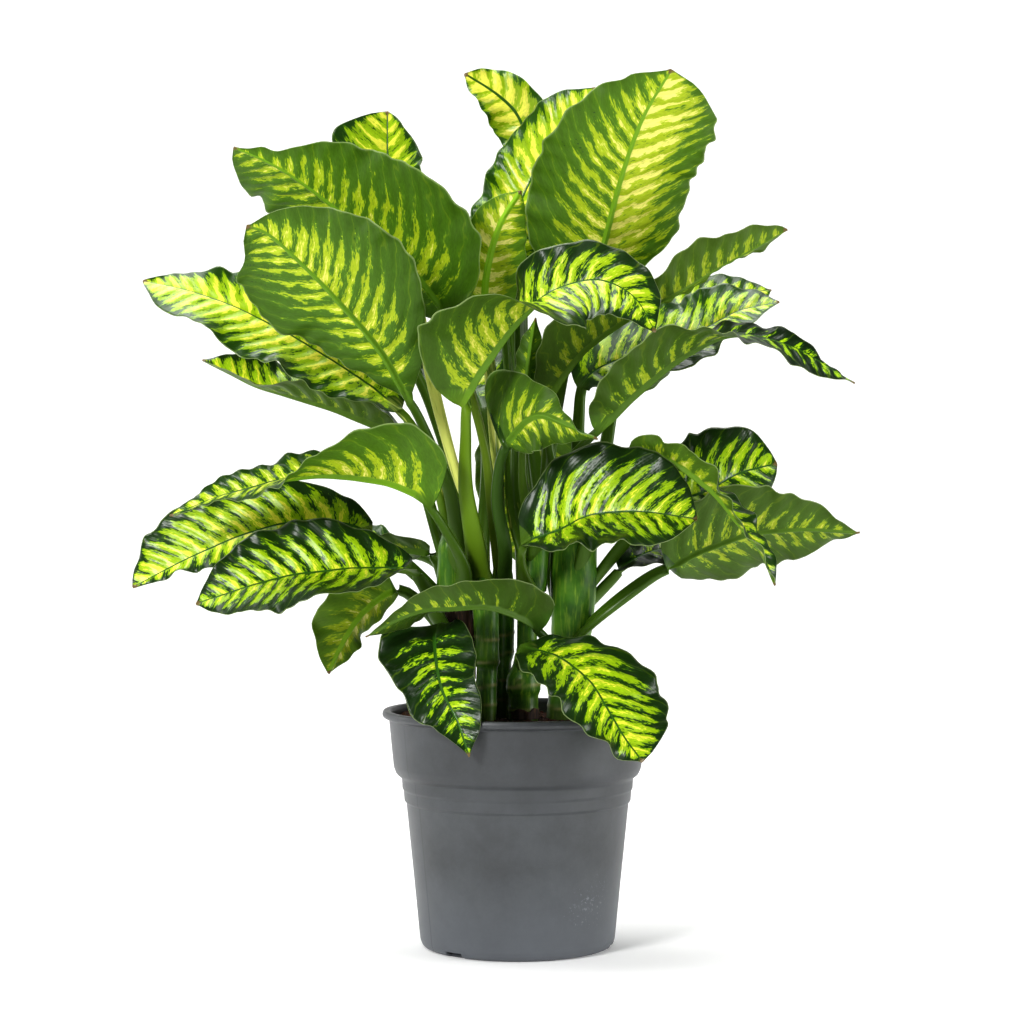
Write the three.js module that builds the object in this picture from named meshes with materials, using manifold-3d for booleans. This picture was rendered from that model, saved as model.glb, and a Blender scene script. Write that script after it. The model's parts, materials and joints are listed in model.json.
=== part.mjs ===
// A potted dieffenbachia: a leafy green house plant with five fleshy canes in a plastic nursery pot.
// Millimetres, +Z up. The origin is the centre of the pot's flat underside, and -Y faces the viewer.

import * as THREE from 'three';
import { mergeVertices } from 'three/addons/utils/BufferGeometryUtils.js';
import Module from 'manifold-3d';

const wasm = await Module();
wasm.setup();

// Driving dimensions of the pot
const POT_HEIGHT = 210;
const LIP_RADIUS = 120;
const BAND_TOP_RADIUS = 113.9;
const BAND_FOOT_RADIUS = 109.8;
const SHOULDER_RADIUS = 102.6;
const RING_RADIUS = 101;
const WALL_TOP_RADIUS = 98.6;
const FOOT_RADIUS = 86.4;
const FOOT_CORNER = 7;
const WALL = 2.2;
const NOTCH_WIDTH = 18;
const NOTCH_HEIGHT = 5;
const NOTCH_AZIMUTHS = [-131, -11, 109];

// Driving dimensions of the soil and of what stands in it
const SOIL_TOP = 199;
const CANE_BOTTOM = 150;
const FIT_GAP = 0.3;

// Driving dimensions of every leaf
const BLADE_THICKNESS = 1;
const STALK_RADIUS = 5.2;
const STALK_DEPTH = 4;
const RIB_WIDTH = 5;
const RIB_DEPTH = 4.5;
const RIB_TAPER = 0.85;
const TIP_WIDTH = 1.6;
const BASE_ROUNDNESS = 0.5;
const TIP_SHARPNESS = 0.72;
const BASE_LOBE = 12;
const SHEATH_RADIUS = 10;
const SHEATH_DEPTH = 5;
const WAVE_LAG = 1.3;

// How finely the round and the waved shapes are faceted
const POT_SEGMENTS = 36;
const CANE_SIDES = 10;
const BLADE_STEP = 25;
const STALK_STEP = 46;

const point = ([x, y, z]) => new THREE.Vector3(x, y, z);
const blend = THREE.MathUtils.lerp;
const smooth = (t) => t * t * (3 - 2 * t);

// A closed skin over rings of points that all hold the same number of points.
// On the underside of a blade the squares are cut along the same diagonals as on its top.
function skin(rings, flipFrom = Infinity) {
  const count = rings[0].length;
  const positions = rings.flat();
  const first = positions.length;
  const centre = (ring) => ring.reduce((sum, p) => sum.add(p), new THREE.Vector3()).divideScalar(count);
  positions.push(centre(rings[0]), centre(rings[rings.length - 1]));
  const faces = [];
  for (let row = 0; row + 1 < rings.length; row++) {
    for (let k = 0; k < count; k++) {
      const next = (k + 1) % count;
      const [a, b] = [row * count + k, row * count + next];
      const [c, d] = [b + count, a + count];
      if (k >= flipFrom) faces.push(a, b, d, b, c, d);
      else faces.push(a, b, c, a, c, d);
    }
  }
  const last = (rings.length - 1) * count;
  for (let k = 0; k < count; k++) {
    const next = (k + 1) % count;
    faces.push(first, next, k, first + 1, last + k, last + next);
  }
  const geometry = new THREE.BufferGeometry();
  const numbers = positions.flatMap((p) => p.toArray());
  geometry.setAttribute('position', new THREE.Float32BufferAttribute(numbers, 3));
  geometry.setIndex(faces);
  return geometry;
}

// Between a geometry and a solid that can be joined and cut
function solid(geometry) {
  const bare = geometry.clone();
  bare.deleteAttribute('normal');
  bare.deleteAttribute('uv');
  const merged = mergeVertices(bare, 1e-4);
  const vertProperties = new Float32Array(merged.attributes.position.array);
  const triVerts = new Uint32Array(merged.index.array);
  return new wasm.Manifold(new wasm.Mesh({ numProp: 3, vertProperties, triVerts }));
}

function geometryOf(body) {
  const mesh = body.getMesh();
  const geometry = new THREE.BufferGeometry();
  geometry.setAttribute('position', new THREE.BufferAttribute(mesh.vertProperties, 3));
  geometry.setIndex(new THREE.BufferAttribute(mesh.triVerts, 1));
  return geometry;
}

// The largest piece of a body: a cut can leave loose scraps
function largest(body) {
  const pieces = body.decompose();
  return pieces.reduce((best, piece) => (piece.volume() > best.volume() ? piece : best));
}

// A turned shape about the pot's axis, from its profile of [radius, height] points
function turned(profile) {
  const lathe = new THREE.LatheGeometry(profile.map(([r, z]) => new THREE.Vector2(r, z)), POT_SEGMENTS);
  return lathe.rotateX(Math.PI / 2);
}

const plant = new THREE.Group();

function addPiece(name, geometry, color, roughness) {
  const material = new THREE.MeshStandardMaterial({ color, roughness, metalness: 0 });
  const mesh = new THREE.Mesh(geometry, material);
  mesh.name = name;
  plant.add(mesh);
}

// The pot: one moulded shell with a rolled lip, a band, two stacking rings and a rounded foot
const bandFoot = POT_HEIGHT - 50;
const shoulder = bandFoot - 10;
const upperRing = shoulder - 10;
const lowerRing = upperRing - 11;
const potOutside = [
  [0, 0],
  [FOOT_RADIUS - FOOT_CORNER, 0],
  [FOOT_RADIUS - 2, 2],
  [FOOT_RADIUS, FOOT_CORNER],
  [WALL_TOP_RADIUS, lowerRing - 1],
  [RING_RADIUS - 0.6, lowerRing + 1],
  [RING_RADIUS, upperRing - 1],
  [SHOULDER_RADIUS - 0.4, upperRing + 1],
  [SHOULDER_RADIUS, shoulder],
  [BAND_FOOT_RADIUS - 2.2, shoulder + 4],
  [BAND_FOOT_RADIUS, bandFoot],
  [BAND_TOP_RADIUS, POT_HEIGHT - 8],
  [LIP_RADIUS - 1, POT_HEIGHT - 6],
  [LIP_RADIUS, POT_HEIGHT - 4],
  [LIP_RADIUS - 1.5, POT_HEIGHT],
];
const potInside = [
  [BAND_TOP_RADIUS - WALL + 1.5, POT_HEIGHT],
  [BAND_TOP_RADIUS - WALL, POT_HEIGHT - 3],
  [BAND_FOOT_RADIUS - WALL, bandFoot + 2],
  [SHOULDER_RADIUS - WALL, shoulder],
  [WALL_TOP_RADIUS - WALL, lowerRing],
  [FOOT_RADIUS - WALL, FOOT_CORNER],
  [FOOT_RADIUS - FOOT_CORNER, WALL + 0.8],
  [0, WALL + 0.8],
];
let potShell = solid(turned([...potOutside, ...potInside]));
for (const azimuth of NOTCH_AZIMUTHS) {
  const notch = new THREE.BoxGeometry(2 * FOOT_CORNER + 6, NOTCH_WIDTH, 2 * NOTCH_HEIGHT);
  notch.translate(FOOT_RADIUS, 0, 0);
  notch.rotateZ(THREE.MathUtils.degToRad(azimuth));
  potShell = potShell.subtract(solid(notch));
}
addPiece('pot', geometryOf(potShell), 0x62656a, 0.5);

// The canes: fleshy stems with a swollen ring at each node, as stations of [x, y, z, radius]
const canes = {
  left: [
    [-50, 14, CANE_BOTTOM, 11],
    [-51, 14, 205, 12],
    [-53, 14, 245, 14],
    [-54, 14, 283, 15.5],
    [-56, 12, 318, 16],
    [-58, 8, 350, 13],
    [-59, 7, 370, 8],
  ],
  mid_left: [
    [-29, -4, CANE_BOTTOM, 10],
    [-29, -4, 205, 10.5],
    [-27, -4, 247, 9.5],
    [-27, -4, 252, 11.6],
    [-27, -4, 258, 11],
    [-28, -5, 295, 11.5],
    [-31, -8, 325, 10.5],
    [-34, -11, 345, 6.5],
  ],
  centre_left: [
    [-16, 18, CANE_BOTTOM, 8.6],
    [-15, 18, 205, 8.6],
    [-14, 18, 250, 8.8],
    [-13, 18, 258, 10],
    [-12, 16, 290, 9.6],
    [-13, 14, 325, 9.6],
    [-14, 14, 350, 6],
  ],
  centre: [
    [5, 0, CANE_BOTTOM, 13.4],
    [5, 0, 222, 13.6],
    [5, 0, 228, 15.6],
    [5, 0, 237, 15.4],
    [7, 1, 252, 11],
    [8, 2, 262, 9],
    [9, 3, 290, 9.5],
    [14, 6, 325, 13],
    [16, 9, 355, 13],
    [18, 12, 378, 7],
  ],
  right: [
    [37, 14, CANE_BOTTOM, 12.5],
    [38, 14, 205, 12.5],
    [42, 14, 238, 13],
    [43, 14, 243, 15],
    [45, 14, 252, 14],
    [49, 14, 285, 19],
    [50, 14, 320, 21],
    [51, 15, 355, 20.5],
    [51, 16, 385, 12],
  ],
};

function caneGeometry(stations, extra = 0) {
  const rings = stations.map(([x, y, z, radius]) => {
    const ring = [];
    for (let k = 0; k < CANE_SIDES; k++) {
      const angle = (2 * Math.PI * k) / CANE_SIDES;
      const reach = radius + extra;
      ring.push(new THREE.Vector3(x + reach * Math.cos(angle), y + reach * Math.sin(angle), z));
    }
    return ring;
  });
  if (extra > 0) {
    for (const p of rings[0]) p.z -= extra;
    for (const p of rings[rings.length - 1]) p.z += extra;
  }
  return skin(rings);
}

const caneRooms = {};
for (const [name, stations] of Object.entries(canes)) {
  caneRooms[name] = solid(caneGeometry(stations, FIT_GAP));
  addPiece(`cane_${name}`, caneGeometry(stations), 0x4f7f35, 0.4);
}

// The soil: it fills the pot, is a little higher in the middle, and has a plain hole for each cane
let soil = solid(turned([
  [0, WALL + 0.8 + FIT_GAP],
  [FOOT_RADIUS - FOOT_CORNER - 1, WALL + 0.8 + FIT_GAP],
  [FOOT_RADIUS - WALL - 0.6, FOOT_CORNER + 0.6],
  [WALL_TOP_RADIUS - WALL - 0.6, lowerRing],
  [SHOULDER_RADIUS - WALL - 0.6, shoulder],
  [BAND_FOOT_RADIUS - WALL - 1.2, bandFoot + 3],
  [BAND_TOP_RADIUS - WALL - 1.7, SOIL_TOP - 4],
  [90, SOIL_TOP - 1],
  [60, SOIL_TOP + 2],
  [0, SOIL_TOP + 3],
]));
for (const room of Object.values(caneRooms)) soil = soil.subtract(room);
addPiece('soil', geometryOf(soil), 0x4a3021, 0.95);

// The leaves. Each one is grown in one piece: a stalk that sheathes its cane, a midrib and a blade.
// stalk and rib are the points of one smooth line, from inside the cane to the tip. face is the way
// the blade's top looks at each point of the rib. widths are those of the [left, right] halves, as
// seen on top from base to tip. fold is how far those halves lift towards the top, in degrees: first
// [left, right] at the base, then at the tip. wave is the height and the number of a margin's waves.
// A leaf that differs from the rest also states its roundness at the base and sharpness at the tip,
// how wide its sheath is where it clasps the cane, and how far its base lobes reach back. Its swells
// make a half wider, or narrower: [half, share of the length, part of the width, spread].
const leaves = [
  {
    name: 'crown_right',
    cane: 'centre',
    stalk: [[19, 12, 358], [25, 22, 405], [32, 38, 467], [46, 41, 533]],
    rib: [[66, 22, 581], [77, -2, 623], [90, -28, 675], [107, -46, 724], [132, -64, 767]],
    face: [[0.1, 0.95, 0.25], [0.1, 0.93, 0.3], [0.1, 0.93, 0.3], [0.05, 0.93, 0.3], [0, 0.9, 0.4]],
    widths: [74, 78],
    fold: [[30, 5], [15, 5]],
    wave: [4, 2.6],
    sharpness: [0.3, 0.75],
    swells: [[0, 0.62, -0.12, 0.18], [0, 0.9, 0.08, 0.1], [1, 0.88, -0.1, 0.08]],
  },
  {
    name: 'upper_left',
    cane: 'centre_left',
    stalk: [[-15, 11, 330], [-23, 4, 395], [-28, 3, 438], [-39, -2, 484], [-53, -8, 532]],
    rib: [[-68, -14, 565], [-104, -22, 608], [-161, -34, 652], [-206, -42, 684], [-246, -48, 702]],
    face: [[0.25, 0.9, 0.35], [0.25, 0.9, 0.35], [0.25, 0.9, 0.35], [0.2, 0.85, 0.4],
      [0.1, 0.8, 0.5]],
    widths: [76, 64],
    fold: [[5, 25], [5, 30]],
    wave: [4, 2.4],
    sharpness: [1.1, 0.4],
    swells: [[0, 0.86, -0.5, 0.07], [0, 0.7, 0.12, 0.08], [1, 0.9, 0.3, 0.08]],
  },
  {
    name: 'broad_left',
    cane: 'left',
    stalk: [[-56, 4, 329], [-54, -15, 369], [-61, -27, 409], [-75, -40, 444], [-88, -52, 473]],
    rib: [[-99, -60, 490], [-119, -74, 526], [-153, -88, 566], [-187, -98, 601], [-211, -104, 622],
      [-229, -108, 629]],
    face: [[0.2, 0.92, 0.33], [0.2, 0.92, 0.33], [0.2, 0.92, 0.33], [0.2, 0.9, 0.35],
      [0.15, 0.85, 0.45], [0.1, 0.8, 0.5]],
    widths: [75, 75],
    fold: [[5, 15], [10, 20]],
    wave: [4, 2.7],
    roundness: [1.1, 1],
    sharpness: [1, 0.4],
  },
  {
    name: 'arching_left',
    cane: 'left',
    stalk: [[-58, 10, 330], [-64, 16, 378], [-79, 18, 433], [-97, 20, 466]],
    rib: [[-114, 20, 482], [-134, 20, 499], [-195, 16, 538], [-241, 12, 562], [-280, 8, 578],
      [-332, 4, 590]],
    face: [[0.3, -0.5, 0.8], [0.3, -0.65, 0.65], [0.3, -0.7, 0.6], [0.25, -0.7, 0.65],
      [0.15, -0.7, 0.7], [0, -0.7, 0.7]],
    widths: [58, 48],
    fold: [[15, 15], [8, 8]],
    wave: [5, 3],
    sharpness: [0.5, 0.8],
  },
  {
    name: 'folded_left',
    cane: 'left',
    stalk: [[-58, 12, 320], [-71, 31, 362], [-86, 41, 413], [-100, 46, 449]],
    rib: [[-118, 48, 459], [-153, 48, 473], [-192, 44, 486], [-237, 40, 499], [-283, 34, 521]],
    face: [[0.25, -0.1, 0.95], [0.25, -0.1, 0.95], [0.25, -0.2, 0.9], [0.3, -0.5, 0.8],
      [0.3, -0.6, 0.7]],
    widths: [40, 40],
    fold: [[35, 30], [35, 25]],
    wave: [3, 2.6],
  },
  {
    name: 'high_left',
    cane: 'mid_left',
    stalk: [[-29, -2, 322], [-37, 25, 372], [-52, 26, 412], [-64, 26, 452], [-76, 27, 500],
      [-88, 28, 561]],
    rib: [[-101, 30, 608], [-111, 34, 651], [-116, 38, 691], [-117, 44, 745]],
    face: [[0, -0.97, 0.1], [0, -0.97, 0.1], [0, -0.97, 0.2], [0, -0.97, 0.2]],
    widths: [52, 43],
    fold: [[10, 50], [10, 35]],
    wave: [4, 2.2],
    sharpness: [0.45, 0.7],
    swells: [[0, 0.88, 0.3, 0.08]],
  },
  {
    name: 'crown_back',
    cane: 'centre',
    stalk: [[16, 10, 316], [22, 40, 372], [16, 57, 430], [5, 66, 504], [4, 70, 595], [10, 70, 667]],
    rib: [[11, 69, 710], [2, 67, 741], [-16, 65, 761], [-48, 61, 781]],
    face: [[-0.4, -0.85, 0.1], [-0.4, -0.85, 0.2], [-0.3, -0.85, 0.3], [-0.1, -0.85, 0.4]],
    widths: [26, 28],
    fold: [[10, 10], [10, 10]],
    wave: [3, 2],
  },
  {
    name: 'crown_centre',
    cane: 'centre',
    stalk: [[11, 11, 338], [-3, 32, 392], [-6, 46, 485], [-11, 50, 548]],
    rib: [[-13, 46, 601], [-2, 44, 650], [20, 42, 699], [44, 38, 736], [70, 34, 765]],
    face: [[-0.3, -0.9, 0.1], [-0.4, -0.88, 0.2], [-0.45, -0.85, 0.25], [-0.45, -0.85, 0.3],
      [-0.4, -0.85, 0.3]],
    widths: [47, 56],
    fold: [[5, 10], [5, 10]],
    wave: [5, 2.6],
    swells: [[0, 0.45, -0.16, 0.12]],
  },
  {
    name: 'pale_centre',
    cane: 'centre_left',
    stalk: [[-12, 17, 322], [-16, 30, 392], [-22, 28, 485], [-27, 22, 533]],
    rib: [[-30, 16, 560], [-27, 12, 599], [-16, 10, 639], [3, 8, 670]],
    face: [[0.2, 0.95, 0.2], [0.2, 0.95, 0.2], [0.2, 0.93, 0.25], [0.2, 0.9, 0.3]],
    widths: [32, 32],
    fold: [[10, 10], [10, 10]],
    wave: [2.5, 2],
  },
  {
    name: 'arching_centre',
    cane: 'mid_left',
    stalk: [[-32, -7, 316], [-38, -28, 361], [-45, -42, 405], [-45, -54, 448]],
    rib: [[-42, -64, 487], [-22, -74, 521], [2, -84, 552], [29, -90, 574], [66, -96, 584],
      [97, -104, 570], [116, -114, 539]],
    face: [[-0.55, 0.62, 0.5], [-0.6, 0.55, 0.55], [-0.62, 0.2, 0.75], [-0.3, -0.6, 0.7],
      [0, -0.85, 0.5], [0.25, -0.85, 0.4], [0.5, -0.75, 0.3]],
    widths: [43, 68],
    fold: [[45, 25], [5, 5]],
    wave: [3.5, 2.6],
    sheath: 11,
    swells: [[1, 0.16, 0.4, 0.14]],
  },
  {
    name: 'upper_right',
    cane: 'right',
    stalk: [[46, 15, 342], [38, 12, 395], [28, 0, 449]],
    rib: [[30, -8, 486], [48, -14, 515], [72, -20, 538], [107, -28, 560], [143, -34, 579],
      [183, -40, 603], [234, -46, 631]],
    face: [[-0.45, 0.75, 0.5], [-0.45, 0.75, 0.5], [-0.45, 0.75, 0.5], [-0.4, 0.75, 0.5],
      [-0.35, 0.75, 0.5], [-0.35, 0.75, 0.5], [-0.3, 0.7, 0.6]],
    widths: [32, 40],
    fold: [[60, 5], [40, 10]],
    wave: [4, 3],
    roundness: [0.5, 0.5],
    sharpness: [0.72, 0.5],
    swells: [[1, 0.2, 0.5, 0.14], [1, 0.5, -0.4, 0.16], [1, 0.85, -0.15, 0.1]],
  },
  {
    name: 'striped_right',
    cane: 'right',
    stalk: [[50, 20, 341], [54, 34, 413], [55, 33, 467]],
    rib: [[60, 32, 501], [84, 30, 518], [122, 28, 530], [159, 24, 544], [196, 20, 563],
      [233, 14, 572]],
    face: [[-0.25, -0.6, 0.75], [-0.25, -0.6, 0.75], [-0.25, -0.6, 0.75], [-0.25, -0.6, 0.75],
      [-0.2, -0.6, 0.75], [0, -0.6, 0.8]],
    widths: [54, 54],
    fold: [[10, 10], [10, 10]],
    wave: [3.5, 3],
    lobe: 6,
  },
  {
    name: 'long_right',
    cane: 'centre',
    stalk: [[16, 4, 345], [24, -18, 391], [39, -32, 424], [62, -44, 450]],
    rib: [[78, -50, 464], [112, -64, 497], [150, -72, 525], [189, -74, 539], [237, -76, 527],
      [289, -76, 497]],
    face: [[-0.45, 0.7, 0.55], [-0.45, 0.6, 0.65], [-0.35, 0.3, 0.85], [-0.1, -0.25, 0.95],
      [0.25, -0.6, 0.75], [0.4, -0.6, 0.65]],
    widths: [32, 50],
    fold: [[35, 10], [10, 10]],
    wave: [4, 3],
    sheath: 12,
    sharpness: [1.4, 0.8],
  },
  {
    name: 'twisted_centre',
    cane: 'centre_left',
    stalk: [[-13, 12, 312], [-11, -27, 352], [-18, -40, 396], [-15, -42, 430]],
    rib: [[-8, -50, 446], [0, -61, 457], [10, -74, 466], [22, -84, 469], [40, -92, 462],
      [68, -100, 449]],
    face: [[0.75, 0.53, -0.05], [0.75, 0.53, -0.05], [0.6, 0.65, -0.25], [0.3, 0.85, -0.1],
      [0.25, 0.85, 0.4], [0.1, 0.3, 0.9]],
    widths: [30, 68],
    fold: [[10, 0], [10, 10]],
    wave: [3, 2],
    sheath: 7,
    roundness: [0.6, 0.3],
    sharpness: [0.9, 2.6],
    lobe: 4,
  },
  {
    name: 'front_centre',
    cane: 'centre',
    stalk: [[12, -2, 307], [6, -24, 330], [4, -40, 351]],
    rib: [[11, -50, 361], [37, -62, 371], [62, -74, 383], [87, -84, 387], [113, -92, 386],
      [152, -104, 381]],
    face: [[0, -0.75, 0.65], [0, -0.75, 0.65], [0, -0.75, 0.65], [0, -0.75, 0.65],
      [0.1, -0.75, 0.65], [0.2, -0.75, 0.6]],
    widths: [64, 62],
    fold: [[25, 25], [20, 20]],
    wave: [3, 3],
    sharpness: [0.6, 0.45],
    roundness: [0.5, 0.9],
  },
  {
    name: 'low_right_back',
    cane: 'right',
    stalk: [[54, 16, 306], [83, 20, 342], [109, 18, 373]],
    rib: [[123, 16, 386], [149, 12, 396], [174, 8, 407], [197, 4, 419], [230, 0, 428]],
    face: [[-0.2, -0.8, 0.5], [-0.2, -0.8, 0.5], [-0.2, -0.8, 0.5], [-0.2, -0.8, 0.5],
      [-0.1, -0.8, 0.55]],
    widths: [54, 50],
    fold: [[10, 10], [10, 10]],
    wave: [3.5, 2.6],
    sharpness: [0.5, 0.5],
  },
  {
    name: 'low_right_long',
    cane: 'right',
    stalk: [[48, 8, 270], [73, -8, 294], [99, -14, 315], [120, -18, 330]],
    rib: [[137, -20, 338], [159, -22, 350], [200, -26, 365], [228, -28, 369], [260, -30, 370],
      [299, -34, 368]],
    face: [[-0.2, 0.75, 0.6], [-0.2, 0.75, 0.6], [-0.2, 0.75, 0.6], [-0.1, 0.75, 0.6],
      [0, 0.75, 0.6], [0, 0.75, 0.6]],
    widths: [52, 54],
    fold: [[10, 10], [10, 10]],
    wave: [3.5, 2.6],
    sheath: 11,
    sharpness: [0.95, 1.1],
    lobe: 6,
  },
  {
    name: 'drooping_right',
    cane: 'right',
    stalk: [[52, 6, 316], [64, -8, 369], [83, -26, 413]],
    rib: [[106, -50, 438], [133, -70, 429], [161, -88, 409], [187, -100, 379], [206, -106, 352],
      [218, -108, 325]],
    face: [[0.1, 0.6, 0.8], [0.3, 0.5, 0.8], [0.5, 0.2, 0.8], [0.7, -0.3, 0.6], [0.75, -0.4, 0.5],
      [0.8, -0.4, 0.4]],
    widths: [26, 26],
    fold: [[20, 20], [20, 20]],
    wave: [2.5, 2.4],
  },
  {
    name: 'small_right',
    cane: 'right',
    stalk: [[50, 18, 288], [69, 24, 308], [85, 22, 325]],
    rib: [[99, 22, 339], [123, 24, 350], [155, 28, 355], [186, 30, 359]],
    face: [[-0.2, -0.5, 0.85], [-0.2, -0.5, 0.85], [-0.1, -0.5, 0.85], [0, -0.5, 0.85]],
    widths: [28, 28],
    fold: [[10, 10], [10, 10]],
    wave: [2.5, 2],
  },
  {
    name: 'front_right',
    cane: 'centre',
    stalk: [[8, 0, 250], [2, -40, 261], [5, -60, 268]],
    rib: [[14, -70, 268], [36, -84, 262], [61, -98, 243], [76, -110, 220], [90, -118, 197],
      [105, -124, 177]],
    face: [[0.2, -0.5, 0.85], [0.35, -0.6, 0.75], [0.45, -0.65, 0.6], [0.45, -0.7, 0.5],
      [0.45, -0.7, 0.5], [0.4, -0.75, 0.5]],
    widths: [60, 50],
    fold: [[5, 5], [5, 5]],
    wave: [3, 2.6],
    roundness: [0.65, 0.5],
    sharpness: [0.45, 0.75],
    swells: [[1, 0.75, -0.12, 0.12]],
  },
  {
    name: 'front_left',
    cane: 'left',
    stalk: [[-53, 8, 240], [-60, -22, 266], [-68, -44, 286]],
    rib: [[-72, -58, 280], [-70, -78, 258], [-64, -96, 234], [-51, -112, 210], [-41, -120, 181]],
    face: [[0, -0.6, 0.8], [-0.05, -0.8, 0.6], [-0.05, -0.85, 0.5], [0, -0.9, 0.4],
      [0, -0.95, 0.2]],
    widths: [37, 50],
    fold: [[25, 0], [20, 10]],
    wave: [3, 2.4],
    lobe: 16,
    roundness: [0.35, 0.3],
    sharpness: [0.8, 1.1],
    swells: [[1, 0.42, -0.2, 0.15]],
  },
  {
    name: 'front_low',
    cane: 'right',
    stalk: [[42, 8, 240], [30, -12, 266], [20, -28, 280]],
    rib: [[9, -42, 290], [-9, -56, 299], [-29, -68, 304], [-55, -78, 303], [-88, -84, 300],
      [-130, -88, 280]],
    face: [[0.1, 0.85, 0.5], [0.1, 0.85, 0.5], [0.1, 0.85, 0.5], [0, 0.85, 0.5], [0, 0.85, 0.5],
      [0, 0.85, 0.5]],
    widths: [34, 40],
    fold: [[5, 65], [5, 40]],
    wave: [3, 2],
    roundness: [0.25, 0.5],
    lobe: 14,
    sharpness: [1.15, 0.72],
  },
  {
    name: 'lower_left_front',
    cane: 'left',
    stalk: [[-58, 6, 272], [-70, -20, 292], [-77, -32, 312], [-86, -40, 328]],
    rib: [[-96, -44, 336], [-131, -52, 337], [-164, -58, 335], [-198, -62, 331], [-232, -66, 322],
      [-277, -70, 307]],
    face: [[0, -0.5, 0.85], [0, -0.7, 0.7], [0, -0.7, 0.7], [0, -0.7, 0.7], [0, -0.7, 0.7],
      [0, -0.7, 0.7]],
    widths: [56, 50],
    fold: [[35, 25], [10, 15]],
    wave: [3, 2.8],
    roundness: [0.6, 0.7],
  },
  {
    name: 'lower_left_back',
    cane: 'left',
    stalk: [[-57, 12, 297], [-78, 16, 318], [-100, 14, 338], [-122, 8, 356]],
    rib: [[-136, 4, 368], [-156, 0, 375], [-192, -4, 377], [-236, -8, 367], [-289, -12, 345],
      [-339, -16, 319]],
    face: [[0, -0.8, 0.6], [0, -0.8, 0.6], [0, -0.8, 0.6], [0, -0.8, 0.6], [0, -0.8, 0.6],
      [0, -0.8, 0.6]],
    widths: [30, 52],
    fold: [[12, 12], [8, 8]],
    wave: [3.5, 2.8],
    roundness: [0.5, 0.7],
    sharpness: [1, 0.55],
  },
  {
    name: 'twisted_left',
    cane: 'left',
    stalk: [[-50, -2, 308], [-47, -28, 337], [-61, -42, 367], [-74, -52, 388]],
    rib: [[-84, -58, 399], [-113, -64, 411], [-147, -66, 417], [-186, -62, 417], [-240, -56, 405],
      [-302, -50, 383]],
    face: [[0.35, 0.8, 0.5], [0.3, 0.8, 0.5], [0.15, 0.5, 0.85], [0, -0.1, 1], [-0.15, -0.5, 0.85],
      [-0.2, -0.6, 0.8]],
    widths: [60, 34],
    fold: [[5, 65], [10, 10]],
    wave: [3, 2.8],
    sheath: 10,
    sharpness: [1.4, 0.7],
    roundness: [0.3, 0.5],
    swells: [[1, 0.7, -0.35, 0.2], [0, 0.25, 0.12, 0.1]],
  },
  {
    name: 'low_left_small',
    cane: 'left',
    stalk: [[-55, 14, 261], [-78, 24, 292], [-96, 27, 310]],
    rib: [[-110, 28, 314], [-131, 28, 301], [-150, 24, 279], [-169, 18, 240]],
    face: [[-0.5, 0.75, 0.35], [-0.5, 0.75, 0.35], [-0.5, 0.75, 0.35], [-0.5, 0.75, 0.35]],
    widths: [40, 22],
    fold: [[10, 10], [10, 10]],
    wave: [2.5, 2],
    sheath: 7,
    lobe: 4,
  },
  {
    name: 'behind_left',
    cane: 'left',
    stalk: [[-56, 16, 288], [-67, 38, 328]],
    rib: [[-79, 36, 347], [-115, 44, 351], [-156, 52, 354], [-197, 58, 354]],
    face: [[0, 0.4, 0.9], [0, 0.4, 0.9], [0, 0.4, 0.9], [0, 0.4, 0.9]],
    widths: [26, 26],
    fold: [[10, 10], [10, 10]],
    wave: [2.5, 2],
    lobe: 4,
  },
  {
    name: 'young_centre',
    cane: 'centre',
    stalk: [[13, 9, 364], [5, 5, 413]],
    rib: [[6, 2, 458], [8, 2, 493], [11, 0, 524], [16, -2, 557]],
    face: [[0, 1, 0.1], [0, 1, 0.1], [0, 1, 0.1], [0, 1, 0.1]],
    widths: [15, 15],
    fold: [[30, 30], [30, 30]],
    wave: [2, 2],
    sheath: 8,
  },
  {
    name: 'back_left_high',
    cane: 'left',
    stalk: [[-51, 19, 298], [-49, 60, 380], [-80, 96, 482]],
    rib: [[-112, 108, 541], [-146, 125, 588], [-184, 145, 627], [-224, 165, 653]],
    face: [[0.2, -0.6, 0.8], [0.2, -0.6, 0.8], [0.2, -0.5, 0.85], [0.2, -0.4, 0.9]],
    widths: [55, 55],
    fold: [[12, 12], [8, 8]],
    wave: [4, 2.6],
  },
  {
    name: 'back_centre_high',
    cane: 'centre',
    stalk: [[9, 7, 292], [6, 50, 356], [0, 78, 440], [-4, 92, 532]],
    rib: [[-7, 102, 578], [3, 122, 626], [12, 150, 675], [22, 180, 716]],
    face: [[0, -0.85, 0.5], [0, -0.85, 0.5], [0, -0.8, 0.6], [0, -0.7, 0.7]],
    widths: [52, 52],
    fold: [[12, 12], [8, 8]],
    wave: [4, 2.6],
  },
  {
    name: 'back_right_high',
    cane: 'right',
    stalk: [[54, 18, 316], [74, 60, 405], [88, 78, 486]],
    rib: [[99, 90, 532], [135, 115, 560], [185, 140, 582], [240, 160, 592]],
    face: [[-0.2, -0.5, 0.9], [-0.1, -0.5, 0.9], [0, -0.5, 0.9], [0.1, -0.4, 0.95]],
    widths: [50, 50],
    fold: [[12, 12], [8, 8]],
    wave: [4, 2.6],
  },
  {
    name: 'back_left_low',
    cane: 'left',
    stalk: [[-54, 16, 258], [-52, 56, 300], [-74, 90, 335]],
    rib: [[-109, 110, 346], [-157, 135, 351], [-205, 160, 355], [-255, 185, 350]],
    face: [[0, -0.15, 1], [0, -0.15, 1], [0, -0.15, 1], [-0.1, 0, 1]],
    widths: [50, 50],
    fold: [[12, 12], [8, 8]],
    wave: [4, 2.6],
    sheath: 6,
  },
  {
    name: 'back_right_low',
    cane: 'right',
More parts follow.
